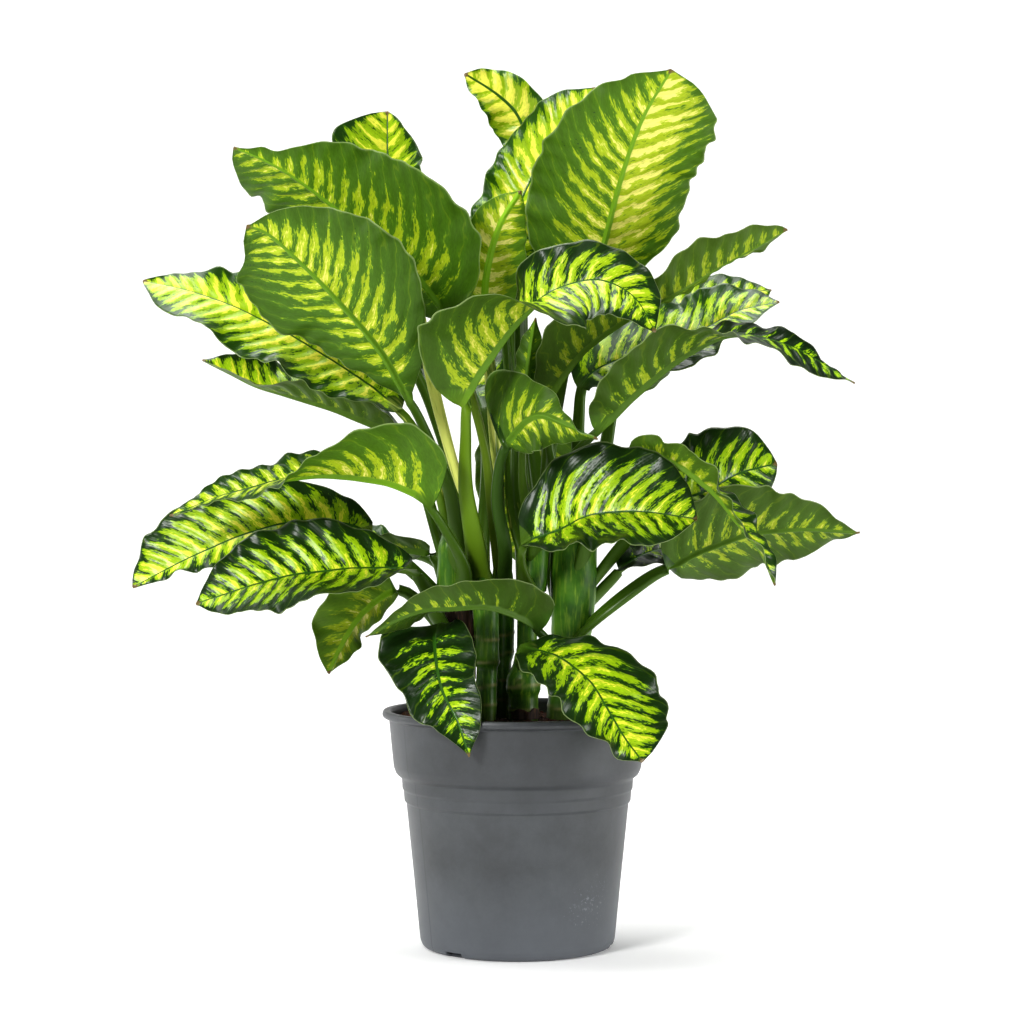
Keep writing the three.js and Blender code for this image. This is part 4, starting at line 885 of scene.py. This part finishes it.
# The stalk, in mm, from its foot to its top: half its width, half its depth, and its channel's
# depth. The leans are how far round it, in degrees, the channel reaches, and the columns of the
# midrib's edge and of the margin stand.
SHEATH = 10
STALK_HALF_WIDTH = 5.2
STALK_HALF_DEPTHS = (5, 4)
CHANNEL_DEPTHS = (2.6, 1.1)
CHANNEL_LEAN = 26
RIB_LEAN = 14
MARGIN_LEAN = 80


def stalk_point(leaf, frame, part, column, face):
    """A point of the round stalk: channelled along its upper side, and sheathing at its foot."""
    at, along, up, across = frame
    half_across = blend(leaf.get("sheath", SHEATH), STALK_HALF_WIDTH, part)
    half_deep = blend(*STALK_HALF_DEPTHS, part)
    lean = across_columns(column, RIB_LEAN, MARGIN_LEAN)
    turn = math.radians(90 - math.copysign(lean, column)) * face
    point = at + across * (half_across * math.cos(turn)) + up * (half_deep * math.sin(turn))
    if face > 0:
        channel = blend(*CHANNEL_DEPTHS, min(1, part * 1.6)) * min(1, part * 8)
        point -= up * (channel * math.exp(-(lean / CHANNEL_LEAN) ** 2))
    return point


# The outline's usual curves, and the last share of the blade, which runs out to its point
ROUNDNESS = (0.5, 0.5)
SHARPNESS = (0.72, 0.72)
TIP_SHARE = 0.9
TIP_BLUNTNESS = 0.15
TIP_TAPER = 1.1


def half_outline(leaf, half, s):
    """The width in mm of one half of the blade a share s of the way to its tip, which is pointed."""
    base = leaf.get("roundness", ROUNDNESS)[half]
    tip = leaf.get("sharpness", SHARPNESS)[half]
    peak = base / (base + tip)
    near = min(s, TIP_SHARE)
    swell = 1 + sum(part * math.exp(-((near - middle) / spread) ** 2)
                    for side, middle, part, spread in leaf.get("swells", ()) if side == half)
    width = leaf["widths"][half] * swell * (near / peak) ** base * ((1 - near) / (1 - peak)) ** tip
    if s > TIP_SHARE:
        width *= ((1 - s) / (1 - TIP_SHARE)) ** (TIP_BLUNTNESS + TIP_TAPER * tip)
    return width


# The blade's two skins, in mm: its thickness in the middle and at the margin, the midrib that
# stands out below and the groove above it. The losses are the shares of these gone by the tip.
MID_THICKNESS = 0.9
EDGE_THICKNESS = 0.45
RIB_HALF_WIDTH = 2.5
RIB_DEPTH = 4.5
GROOVE_DEPTH = 0.5
RIB_LOSS = 0.85
GROOVE_LOSS = 0.6
# The side veins leave the midrib every VEIN_PITCH, lean towards the tip, more so the nearer they
# are to it, and curve. The blade is raised between them, in full from RELIEF_START outwards.
VEIN_PITCH = 14.0
VEIN_SLANT = 0.25
VEIN_STEEPER = 0.45
VEIN_CURVE = 0.004
VEIN_RELIEF = 1.2
RELIEF_START = 9
# Unevenness: of each half's width, as a share of it, of the margin and of the whole blade, in mm
UNEVEN_WIDTH = 0.08
UNEVEN_LENGTH = 13
RIPPLE_HEIGHT = 9
RIPPLE_LENGTH = 14
PUCKER_HEIGHT = 1.6
PUCKER_WIDTH = 26
PUCKER_LENGTH = 34
# No half is narrower than this, and the midrib takes no more than this share of it
NARROWEST_HALF = 0.8
WIDEST_RIB = 0.3
LOBE = 12


def blade_point(leaf, frame, s, column, face, length, seed):
    """A point of the blade a share s of the way to its tip, its place on it (mm from the rib, mm
    from the base, share of the way to the margin), and where its side vein leaves the rib."""
    at, along, up, across = frame
    side = 1 if column > 0 else -1
    half = 1 if column > 0 else 0
    uneven = UNEVEN_WIDTH * noise.noise(
        Vector((s * length / UNEVEN_LENGTH, seed + 9.0, side * 4.0)))
    half_width = max(half_outline(leaf, half, s) * (1 + uneven), NARROWEST_HALF)
    share = across_columns(column, min(RIB_HALF_WIDTH / half_width, WIDEST_RIB), 1)
    x = share * half_width
    angle = math.radians(blend(leaf["fold"][0][half], leaf["fold"][1][half], s))
    normal = up * math.cos(angle) - across * (side * math.sin(angle))
    height, waves = leaf["wave"]
    calm = math.sqrt(max(4 * s * (1 - s), 0))
    lift = height * calm * share ** 2 * math.sin(math.tau * waves * s + 1.3 * half)
    lift += calm * share ** 3 * RIPPLE_HEIGHT * noise.noise(
        Vector((s * length / RIPPLE_LENGTH, seed, side * 3.0)))
    lift += calm * PUCKER_HEIGHT * noise.noise(
        Vector((side * x / PUCKER_WIDTH, s * length / PUCKER_LENGTH, seed + 5.0)))
    vein = s * length - x * (VEIN_SLANT + VEIN_STEEPER * s) - VEIN_CURVE * x * x
    lift -= (VEIN_RELIEF * math.cos(math.tau * vein / VEIN_PITCH) * min(1, x / RELIEF_START)
             * (1 - share ** 3))
    back = leaf.get("lobe", LOBE) * share * (1 - s) ** 4
    middle = (at + across * (side * x * math.cos(angle)) + up * (x * math.sin(angle))
              + normal * lift - along * back)
    thick = blend(MID_THICKNESS, EDGE_THICKNESS, min(1, share * 1.1)) / 2 / math.cos(angle)
    ridge = max(0, 1 - (x / RIB_HALF_WIDTH) ** 2)
    if face > 0:
        point = middle + up * (thick - GROOVE_DEPTH * ridge ** 2 * (1 - GROOVE_LOSS * s))
    else:
        point = middle - up * (thick + RIB_DEPTH * (1 - RIB_LOSS * s) * ridge ** 1.3)
    return point, Vector((side * x, s * length, share)), vein


# How far apart the stalk's columns are for the pattern on it, and how long the dried tip is, in mm
STALK_COLUMN = 0.3
DRY_TIP = 10


def leaf_mesh(name, leaf, seed):
    """The whole skin of a leaf: a grid rolled round its line, row by row from foot to tip."""
    points = [Vector(p) for p in leaf["stalk"] + leaf["rib"]]
    faces = [Vector(p) for p in leaf["face"]]
    spans = len(points) - 1
    blade_start = len(leaf["stalk"]) / spans
    stalk_length, stalk_share = even_steps(points, 0, blade_start)
    stalk_end = 1 - leaf.get("lobe", LOBE) / stalk_length
    stalk_rows = max(FEWEST_STALK_ROWS, round(stalk_length * stalk_end / STALK_STEP))
    length, blade_share = even_steps(points, blade_start, 1)
    blade_rows = round(length / BLADE_STEP)

    # Up the stalk, its upper side is carried along from the foot, then turned to meet the blade's
    up = ((points[0] - points[len(leaf["stalk"])]) * Vector((1, 1, 0))).normalized()
    frames = []
    for i in range(stalk_rows + 1):
        frames.append(frame_at(points, stalk_share(stalk_end * i / stalk_rows), up))
        up = frames[-1][2]
    at, along, up, across = frames[-1]
    goal = (faces[0] - along * faces[0].dot(along)).normalized()
    twist = math.atan2(goal.dot(across), goal.dot(up))
    rows = []
    for i, (at, along, up, across) in enumerate(frames):
        part = i / stalk_rows
        up = Matrix.Rotation(-twist * part * part * (3 - 2 * part), 3, along) @ up
        rows.append(("stalk", part, (at, along, up, along.cross(up))))
    stalk_top = rows[-1][2]

    for i in range(-BASE_ROWS + 1, blade_rows + 1):
        s = BASE_SHARE if i <= 0 else blend(BASE_SHARE, 1, i / blade_rows)
        share = blade_share(s)
        place = (share - blade_start) * spans
        k = min(int(place), len(faces) - 2)
        frame = frame_at(points, share, faces[k].lerp(faces[k + 1], place - k))
        rows.append(("base", 1 + i / BASE_ROWS, frame) if i < 0 else ("blade", s, frame))

    columns = list(range(-HALF_COLUMNS, HALF_COLUMNS + 1))
    around = [(c, 1) for c in columns] + [(c, -1) for c in reversed(columns)]
    mesh = bmesh.new()
    bmesh.ops.create_grid(mesh, x_segments=len(around), y_segments=len(rows) - 1, size=1)
    place_mark = mesh.verts.layers.float_vector.new("place")
    kind_mark = mesh.verts.layers.float_vector.new("kind")
    look_mark = mesh.verts.layers.float_vector.new("look")
    vein_mark = mesh.verts.layers.float.new("vein")
    tip_mark = mesh.verts.layers.float.new("tip")
    *cream, dark, yellow = leaf_looks.get(name, plain_look)
    stalk_look = stalk_looks.get(name, plain_stalk)
    for vert in mesh.verts:
        column, face = around[round((vert.co.x + 1) / 2 * len(around)) % len(around)]
        zone, t, frame = rows[round((vert.co.y + 1) / 2 * (len(rows) - 1))]
        stalk = 0.0
        vein = 0.0
        if zone == "stalk":
            stalk = 1.0
            point = stalk_point(leaf, frame, t, column, face)
            place = Vector((column * STALK_COLUMN, (t - 1) * stalk_length, 0))
        elif zone == "base":
            stalk = 1 - t
            start = stalk_point(leaf, stalk_top, 1, column, face)
            end, place, vein = blade_point(leaf, frame, BASE_SHARE, column, face, length, seed)
            gap = end - start
            spread = frame[3] * gap.dot(frame[3])
            point = start + spread * t ** BASE_FLARE + (gap - spread) * t
            place = Vector((place.x * t ** BASE_FLARE, place.y - BASE_LENGTH * (1 - t),
                            place.z * t))
        else:
            point, place, vein = blade_point(leaf, frame, t, column, face, length, seed)
        vert.co = point * MM
        vert[place_mark] = place
        vert[kind_mark] = (float(face < 0), stalk, seed / len(leaves))
        blade_look = Vector((cream[column > 0], dark, yellow))
        vert[look_mark] = blade_look.lerp(Vector(stalk_look), stalk ** 0.5)
        vert[vein_mark] = vein
        vert[tip_mark] = max(0, 1 - (1 - t) * length / DRY_TIP) if zone == "blade" else 0.0
    bmesh.ops.remove_doubles(mesh, verts=mesh.verts, dist=1e-6)
    close_ends(mesh)
    return mesh


# How each blade is marked, mostly from 0 to 1: how much of its left half and of its right half is
# cream, how dark it is (partly its own green, partly painted shade where other leaves shadow it),
# and how yellow its marks are above and how dull it is below
plain_look = (0.5, 0.5, 0.5, 0.5)
leaf_looks = {
    "crown_right": (1.1, 0.5, 0.5, 0.1), "upper_left": (0.3, 0.35, 0.55, 0.0),
    "broad_left": (0.45, 0.38, 0.7, 0.2), "arching_left": (1.0, 0.9, 0.5, 0.75),
    "folded_left": (-0.1, 0.75, 0.8, 0.9), "high_left": (0.95, 0.95, 0.5, 0.75),
    "crown_back": (1.5, 1.5, 0.0, 0.6), "crown_centre": (1.0, 0.9, 0.2, 0.7),
    "pale_centre": (1.0, 1.0, 0.1, 0.0), "arching_centre": (0.6, 0.6, 0.8, 0.5),
    "upper_right": (0.25, 0.25, 0.7, 0.9), "striped_right": (0.55, 0.55, 0.6, 0.7),
    "long_right": (0.05, 0.15, 0.95, 0.8), "twisted_centre": (0.6, 0.5, 0.75, 0.45),
    "front_centre": (0.55, 0.55, 0.8, 0.85), "low_right_back": (0.45, 0.45, 0.7, 0.8),
    "low_right_long": (0.3, 0.2, 0.9, 0.8), "drooping_right": (0.4, 0.4, 0.6, 0.7),
    "small_right": (0.25, 0.25, 0.9, 0.6), "front_right": (0.62, 0.62, 0.8, 0.85),
    "front_left": (0.2, 0.2, 0.85, 0.75), "front_low": (0.05, 0.0, 1.0, 0.8),
    "lower_left_front": (0.55, 0.55, 0.8, 0.85), "lower_left_back": (0.8, 0.8, 0.75, 0.8),
    "twisted_left": (0.55, 0.55, 0.55, 0.2), "low_left_small": (0.4, 0.8, 0.1, 0.8),
    "behind_left": (0.3, 0.3, 0.8, 0.7), "young_centre": (0.1, 0.1, 0.7, 0.4),
}

# How pale each stalk is, how dark (partly its own green, partly painted shade of the crowded middle
# of the plant), and how yellow
plain_stalk = (0.1, 0.66, 0.32)
stalk_looks = {
    "high_left": (0.8, 0.2, 0.6), "arching_left": (0.3, 0.5, 0.5),
    "pale_centre": (0.5, 0.4, 0.2), "arching_centre": (0.1, 0.3, 0.55),
    "front_low": (0.0, 0.9, 0.1), "low_right_long": (0.05, 0.7, 0.3),
    "crown_centre": (0.25, 0.6, 0.3), "crown_back": (0.2, 0.7, 0.3),
    "young_centre": (0.15, 0.7, 0.5), "twisted_centre": (0.0, 0.85, 0.2),
    "upper_left": (0.15, 0.5, 0.8), "front_centre": (0.1, 0.7, 0.5),
}

# Variegated leaf, waxy: glossy dark green above, matter and paler below, with a feathery
# cream-yellow band along every side vein and a plain green margin with a thin pale edge. place is
# where a point is on its leaf, kind is (underside, stalk, leaf), and look is as in the lists above.
blade, tree, shader = new_material("variegated_leaf")
place = add_node(tree, "ShaderNodeAttribute", out="Vector", attribute_name="place")
kind = add_node(tree, "ShaderNodeAttribute", out="Vector", attribute_name="kind")
look = add_node(tree, "ShaderNodeAttribute", out="Vector", attribute_name="look")
vein = add_node(tree, "ShaderNodeAttribute", out="Fac", attribute_name="vein")
spot = add_node(tree, "ShaderNodeSeparateXYZ", {"Vector": place}).node.outputs
sort = add_node(tree, "ShaderNodeSeparateXYZ", {"Vector": kind}).node.outputs
mood = add_node(tree, "ShaderNodeSeparateXYZ", {"Vector": look}).node.outputs
reach = add_node(tree, "ShaderNodeMath", {0: spot["X"]}, operation="ABSOLUTE")
side = add_node(tree, "ShaderNodeMath", {0: spot["X"]}, operation="SIGN")
lot = add_node(tree, "ShaderNodeMath", {0: sort["Z"], 1: 97.0, 2: side}, operation="MULTIPLY_ADD")
near_rib = add_node(tree, "ShaderNodeMapRange", {"Value": reach, "From Min": 5.0, "From Max": 14.0,
                                                 "To Min": 1.0, "To Max": 0.0})
on_stalk = add_node(tree, "ShaderNodeMath", {0: sort["Y"], 1: near_rib}, operation="MULTIPLY")
on_blade = add_node(tree, "ShaderNodeMath", {0: 1.0, 1: on_stalk}, operation="SUBTRACT")

# Bands along the side veins, made of dabs 2 mm wide and 10 mm long, in patches of 9 mm, with
# flecks of 1 mm by 3 mm in and between them. They thin out towards the margin and the base.
dab_place = add_node(tree, "ShaderNodeCombineXYZ", {
    "X": add_node(tree, "ShaderNodeMath", {0: vein, 1: 1 / 2.0}, operation="MULTIPLY"),
    "Y": add_node(tree, "ShaderNodeMath", {0: reach, 1: 1 / 10}, operation="MULTIPLY"), "Z": lot})
dab = add_node(tree, "ShaderNodeTexNoise", {"Vector": dab_place, "Scale": 1.0, "Detail": 2.0,
                                            "Roughness": 0.6})
patch_place = add_node(tree, "ShaderNodeVectorMath", {0: dab_place, 1: (0.22, 0.8, 1.7)},
                       operation="MULTIPLY")
patch = add_node(tree, "ShaderNodeTexNoise", {"Vector": patch_place, "Scale": 1.0, "Detail": 1.0})
fleck_place = add_node(tree, "ShaderNodeVectorMath", {0: dab_place, 1: (2.0, 3.4, 1.3)},
                       operation="MULTIPLY")
fleck = add_node(tree, "ShaderNodeTexNoise", {"Vector": fleck_place, "Scale": 1.0, "Detail": 2.0,
                                              "Roughness": 0.6})
drift = add_node(tree, "ShaderNodeMath", {0: patch, 1: 6.0}, operation="MULTIPLY")
turn = add_node(tree, "ShaderNodeMath", {0: vein, 1: math.tau / VEIN_PITCH, 2: drift},
                operation="MULTIPLY_ADD")
band = add_node(tree, "ShaderNodeMath", {0: turn}, operation="COSINE")
band_height = add_node(tree, "ShaderNodeMapRange", {"Value": sort["X"], "To Min": 0.2,
                                                    "To Max": 0.22})
patched = add_node(tree, "ShaderNodeMath", {0: patch, 1: 0.4, 2: dab}, operation="MULTIPLY_ADD")
flecked = add_node(tree, "ShaderNodeMath", {0: fleck, 1: 0.65, 2: patched},
                   operation="MULTIPLY_ADD")
banded = add_node(tree, "ShaderNodeMath", {0: band, 1: band_height, 2: flecked},
                  operation="MULTIPLY_ADD")
amount = add_node(tree, "ShaderNodeMath", {0: mood["X"], 1: 0.5, 2: banded},
                  operation="MULTIPLY_ADD")
reached = add_node(tree, "ShaderNodeMapRange", {"Value": sort["X"], "To Min": 0.58,
                                                "To Max": 0.33})
margin = add_node(tree, "ShaderNodeMapRange", {"Value": spot["Z"], "From Min": reached,
                                               "From Max": 1.0, "To Min": 0.0, "To Max": 0.55},
                  interpolation_type="SMOOTHSTEP")
bare = add_node(tree, "ShaderNodeMapRange", {"Value": spot["Y"], "From Min": 2.0, "From Max": 24.0,
                                             "To Min": 0.3, "To Max": 0.0},
                interpolation_type="SMOOTHSTEP")
wedge = add_node(tree, "ShaderNodeMapRange", {"Value": spot["Z"], "From Min": 0.0, "From Max": 0.7,
                                              "To Min": 0.12, "To Max": -0.04})
less = add_node(tree, "ShaderNodeMath", {0: margin, 1: bare}, operation="ADD")
wedged = add_node(tree, "ShaderNodeMath", {0: amount, 1: wedge}, operation="ADD")
level = add_node(tree, "ShaderNodeMath", {0: wedged, 1: less}, operation="SUBTRACT")
centre = add_node(tree, "ShaderNodeMapRange", {"Value": reach, "From Min": 2.0, "From Max": 30.0,
                                               "To Min": 0.09, "To Max": 0.0})
level_near = add_node(tree, "ShaderNodeMath", {0: level, 1: centre}, operation="ADD")
level_in = add_node(tree, "ShaderNodeMath", {0: band, 1: 0.12, 2: level_near},
                    operation="MULTIPLY_ADD")
fading = add_node(tree, "ShaderNodeMapRange", {"Value": level, "From Min": 1.12, "From Max": 1.27},
                  interpolation_type="SMOOTHSTEP")
crisp = add_node(tree, "ShaderNodeMapRange", {"Value": level, "From Min": 1.26, "From Max": 1.31},
                 interpolation_type="SMOOTHSTEP")
bright = add_node(tree, "ShaderNodeMapRange", {"Value": level_in, "From Min": 1.66,
                                               "From Max": 1.86}, interpolation_type="SMOOTHSTEP")
fade_mask = add_node(tree, "ShaderNodeMath", {0: fading, 1: on_blade}, operation="MULTIPLY")
lime_mask = add_node(tree, "ShaderNodeMath", {0: crisp, 1: on_blade}, operation="MULTIPLY")
pale_mask = add_node(tree, "ShaderNodeMath", {0: bright, 1: on_blade}, operation="MULTIPLY")

# Above: deep green marked with lime, and yellow along the veins. Below: a lighter, duller green,
# and paler marks. Each colour runs from a lighter shade to a darker one. The greens, and all the
# colours below, follow how dark the leaf is, which is partly its own green and partly painted shade
# where other leaves shadow it. The marks above follow how yellow they are.
tones = {}
for tone, top_light, top_dark, low_light, low_dark in (
    ("green", "#3c6c14", "#152810", "#6a961e", "#345814"),
    ("fade", "#60921c", "#386612", "#7ea228", "#527e1c"),
    ("lime", "#a8c022", "#96bc12", "#aac022", "#9eb024"),
    ("pale", "#ece67a", "#dede38", "#ebe688", "#d2ce58"),
):
    top_blend = mood["Y"] if tone in ("green", "fade") else mood["Z"]
    top = add_node(tree, "ShaderNodeMix", {"Factor": top_blend, "A": linear(top_light),
                                           "B": linear(top_dark)}, data_type="RGBA")
    low = add_node(tree, "ShaderNodeMix", {"Factor": mood["Y"], "A": linear(low_light),
                                           "B": linear(low_dark)}, data_type="RGBA")
    tones[tone] = add_node(tree, "ShaderNodeMix", {"Factor": sort["X"], "A": top, "B": low},
                           data_type="RGBA")
mottled = add_node(tree, "ShaderNodeMapRange", {"Value": fleck, "From Min": 0.3, "From Max": 0.7,
                                                "To Min": 0.85, "To Max": 1.12})
lamina = tones["green"]
for mask, tone in ((fade_mask, "fade"), (lime_mask, "lime"), (pale_mask, "pale")):
    lamina = add_node(tree, "ShaderNodeMix", {"Factor": mask, "A": lamina, "B": tones[tone]},
                      data_type="RGBA")
line_peak = add_node(tree, "ShaderNodeMapRange", {"Value": band, "From Min": 0.93, "From Max": 1.0,
                                                  "To Max": 0.16})
line = add_node(tree, "ShaderNodeMath", {0: line_peak, 1: on_blade}, operation="MULTIPLY")
lined = add_node(tree, "ShaderNodeMix", {"Factor": line, "A": lamina, "B": tones["lime"]},
                 data_type="RGBA")
# Painted relief shade: lighter along the side veins and darker between them. The blade is also
# darker towards the margin
painted_vein_shade = add_node(tree, "ShaderNodeMapRange", {"Value": band, "From Min": -1.0, "From Max": 1.0,
                                               "To Min": 0.88, "To Max": 1.08})
speckle_and_vein_shade = add_node(tree, "ShaderNodeMath", {0: mottled, 1: painted_vein_shade}, operation="MULTIPLY")
mottled_and_vein_shaded = add_node(tree, "ShaderNodeVectorMath", {0: lined, "Scale": speckle_and_vein_shade},
                         operation="SCALE")
outer = add_node(tree, "ShaderNodeMapRange", {"Value": spot["Z"], "From Min": 0.3, "From Max": 1.0,
                                              "To Min": 1.05, "To Max": 0.68})
shaded = add_node(tree, "ShaderNodeVectorMath", {0: mottled_and_vein_shaded, "Scale": outer},
                  operation="SCALE")

# The midrib: a bright ridge below that thins towards the tip, a thin dark line above
taper = add_node(tree, "ShaderNodeMapRange", {"Value": spot["Y"], "From Min": 0.0,
                                              "From Max": 230.0, "To Min": 3.8, "To Max": 0.9})
thin = add_node(tree, "ShaderNodeMapRange", {"Value": sort["X"], "To Min": 0.42, "To Max": 1.0})
rib_width = add_node(tree, "ShaderNodeMath", {0: taper, 1: thin}, operation="MULTIPLY")
rib_ratio = add_node(tree, "ShaderNodeMath", {0: reach, 1: rib_width}, operation="DIVIDE")
rib_mask = add_node(tree, "ShaderNodeMapRange", {"Value": rib_ratio, "From Min": 0.8,
                                                 "From Max": 1.15, "To Min": 1.0, "To Max": 0.0},
                    interpolation_type="SMOOTHSTEP")
# Below, darker with the leaf's darkness, which is partly painted shade
rib_low = add_node(tree, "ShaderNodeMix", {"Factor": mood["Y"], "A": linear("#8fc026"),
                                           "B": linear("#44681e")}, data_type="RGBA")
rib_tone = add_node(tree, "ShaderNodeMix", {"Factor": sort["X"], "A": linear("#35601a"),
                                            "B": rib_low}, data_type="RGBA")
ribbed = add_node(tree, "ShaderNodeMix", {"Factor": rib_mask, "A": shaded, "B": rib_tone},
                  data_type="RGBA")
# The older undersides are duller, and the margin has a thin pale edge
dullness = add_node(tree, "ShaderNodeMath", {0: sort["X"], 1: mood["Z"]}, operation="MULTIPLY")
dull = add_node(tree, "ShaderNodeMath", {0: dullness, 1: 0.4}, operation="MULTIPLY")
dulled = add_node(tree, "ShaderNodeMix", {"Factor": dull, "A": ribbed, "B": linear("#56642a")},
                  data_type="RGBA")
edge_mask = add_node(tree, "ShaderNodeMapRange", {"Value": spot["Z"], "From Min": 0.975,
                                                  "From Max": 0.995, "To Max": 0.35})
edged = add_node(tree, "ShaderNodeMix", {"Factor": edge_mask, "A": dulled, "B": linear("#b6c98a")},
                 data_type="RGBA")

# The last few millimetres have dried to a light brown point
tip = add_node(tree, "ShaderNodeAttribute", out="Fac", attribute_name="tip")
point = add_node(tree, "ShaderNodeMath", {0: reach, 1: -0.1, 2: tip}, operation="MULTIPLY_ADD")
dried = add_node(tree, "ShaderNodeMath", {0: fleck, 1: 0.8, 2: point}, operation="MULTIPLY_ADD")
dry_mask = add_node(tree, "ShaderNodeMapRange", {"Value": dried, "From Min": 0.85,
                                                 "From Max": 1.05})
tipped = add_node(tree, "ShaderNodeMix", {"Factor": dry_mask, "A": edged, "B": linear("#6a5a34")},
                  data_type="RGBA")

# The stalk: green, darkened on each leaf partly as painted shade of the plant's crowded middle, with
# streaks 3 mm wide and 40 mm long, and on some leaves cream
stalk_place = add_node(tree, "ShaderNodeCombineXYZ", {
    "X": add_node(tree, "ShaderNodeMath", {0: spot["X"], 1: 0.35}, operation="MULTIPLY"),
    "Y": add_node(tree, "ShaderNodeMath", {0: spot["Y"], 1: 0.025}, operation="MULTIPLY"),
    "Z": lot})
stalk_streak = add_node(tree, "ShaderNodeTexNoise", {"Vector": stalk_place, "Scale": 1.0,
                                                     "Detail": 4.0})
stalk_fresh = add_node(tree, "ShaderNodeMix", {"Factor": mood["Z"], "A": linear("#588a20"),
                                               "B": linear("#869e20")}, data_type="RGBA")
# Darker by the stalk's darkness, which is partly painted shade of the crowded middle
stalk_dark = add_node(tree, "ShaderNodeMix", {"Factor": mood["Y"], "A": stalk_fresh,
                                              "B": linear("#233a12")}, data_type="RGBA")
stalk_pale = add_node(tree, "ShaderNodeMath", {0: stalk_streak, 1: 1.3, 2: mood["X"]},
                      operation="MULTIPLY_ADD")
stalk_mask = add_node(tree, "ShaderNodeMapRange", {"Value": stalk_pale, "From Min": 1.05,
                                                   "From Max": 1.3})
stalk_tone = add_node(tree, "ShaderNodeMix", {"Factor": stalk_mask, "A": stalk_dark,
                                              "B": linear("#dfe47a")}, data_type="RGBA")
surface = add_node(tree, "ShaderNodeMix", {"Factor": on_stalk, "A": tipped, "B": stalk_tone},
                   data_type="RGBA")

# Finely ribbed, with a rib every 3 mm alongside the side veins, and glossier above than below
ribbing = add_node(tree, "ShaderNodeMath", {0: vein, 1: math.tau / 3.0}, operation="MULTIPLY")
ribs = add_node(tree, "ShaderNodeMath", {0: ribbing}, operation="SINE")
grain = add_node(tree, "ShaderNodeMath", {0: fleck, 1: 1.6, 2: ribs}, operation="MULTIPLY_ADD")
bump = add_node(tree, "ShaderNodeBump", {"Height": grain, "Strength": 0.13, "Distance": 0.0002})
gloss = add_node(tree, "ShaderNodeMapRange", {"Value": sort["X"], "To Min": 0.3, "To Max": 0.5})
tree.links.new(surface, shader.inputs["Base Color"])
tree.links.new(gloss, shader.inputs["Roughness"])
shine = add_node(tree, "ShaderNodeMapRange", {"Value": sort["X"], "To Min": 0.32, "To Max": 0.2})
tree.links.new(shine, shader.inputs["Specular IOR Level"])
tree.links.new(bump, shader.inputs["Normal"])
shader.inputs["IOR"].default_value = 1.45

for index, (name, leaf) in enumerate(leaves.items()):
    skin = leaf_mesh(name, leaf, index)
    add_piece(f"dieffenbachia_leaf_{name}", skin, blade, f"leaf_{name}")


# The studio: white paper that sweeps up behind the plant, under a white sky and four soft lights,
# overhead, in front on the left, behind on the left, and low on the right. The paper glows a
# little, as paper lit from all round does, and lights the leaves from below.
FLOOR_FRONT = 4
FLOOR_HALF_WIDTH = 5
FLOOR_ROWS = 160
SWEEP_START = 1.6
SWEEP_RADIUS = 1.2
SWEEP_TOP = 3.2
LIGHT_AIM = (0, 0, 0.42)

floor_mesh = bmesh.new()
bmesh.ops.create_grid(floor_mesh, x_segments=2, y_segments=FLOOR_ROWS, size=1)
quarter = math.pi / 2 * SWEEP_RADIUS
for vert in floor_mesh.verts:
    along = (vert.co.y + 1) / 2 * (FLOOR_FRONT + SWEEP_START + quarter + SWEEP_TOP)
    past = along - FLOOR_FRONT - SWEEP_START
    if past < 0:
        y, z = along - FLOOR_FRONT, 0.0
    elif past < quarter:
        turn = past / SWEEP_RADIUS
        y = SWEEP_START + SWEEP_RADIUS * math.sin(turn)
        z = SWEEP_RADIUS * (1 - math.cos(turn))
    else:
        y, z = SWEEP_START + SWEEP_RADIUS, SWEEP_RADIUS + past - quarter
    vert.co = (vert.co.x * FLOOR_HALF_WIDTH, y, z)
floor_data = bpy.data.meshes.new("studio_floor")
floor_mesh.to_mesh(floor_data)
floor_mesh.free()
floor_data.polygons.foreach_set("use_smooth", [True] * len(floor_data.polygons))

# Coated white paper: matt, with a cloudiness of 17 mm too faint to see, and a little glow
paper, tree, shader = new_material("white_paper_floor")
place = add_node(tree, "ShaderNodeTexCoord", out="Object")
fibre = add_node(tree, "ShaderNodeTexNoise", {"Vector": place, "Scale": 60.0, "Detail": 2.0})
tone = add_node(tree, "ShaderNodeValToRGB", {"Fac": fibre},
                stops=((0.0, "#f6f6f6"), (1.0, "#fbfbfb")))
tree.links.new(tone, shader.inputs["Base Color"])
shader.inputs["Roughness"].default_value = 0.9
shader.inputs["Emission Color"].default_value = (1.0, 1.0, 1.0, 1.0)
shader.inputs["Emission Strength"].default_value = 0.12
floor_data.materials.append(paper)
floor = bpy.data.objects.new("studio_floor", floor_data)
bpy.context.scene.collection.objects.link(floor)

world = bpy.data.worlds.new("white_studio")
world.use_nodes = True
world.node_tree.nodes["Background"].inputs["Color"].default_value = (1.0, 1.0, 1.0, 1.0)
world.node_tree.nodes["Background"].inputs["Strength"].default_value = 0.16
bpy.context.scene.world = world
bpy.context.scene.view_settings.view_transform = "Standard"
bpy.context.scene.view_settings.look = "Medium High Contrast"

# Each light: its place in metres, its power in watts and its width in metres
for name, place, power, size in (
    ("overhead_softbox", (-0.3, 0.3, 2.4), 54.0, 1.6),
    ("key_softbox", (-1.5, -2.1, 1.6), 55.0, 0.7),
    ("left_rim_softbox", (-1.8, 0.9, 0.8), 8.0, 1.0),
    ("right_softbox", (1.9, -0.6, 0.5), 20.0, 0.8),
):
    light_data = bpy.data.lights.new(name, "AREA")
    light_data.energy = power
    light_data.size = size
    light = bpy.data.objects.new(name, light_data)
    light.location = place
    aim = Vector(LIGHT_AIM) - Vector(place)
    light.rotation_euler = aim.to_track_quat("-Z", "Y").to_euler()
    bpy.context.scene.collection.objects.link(light)
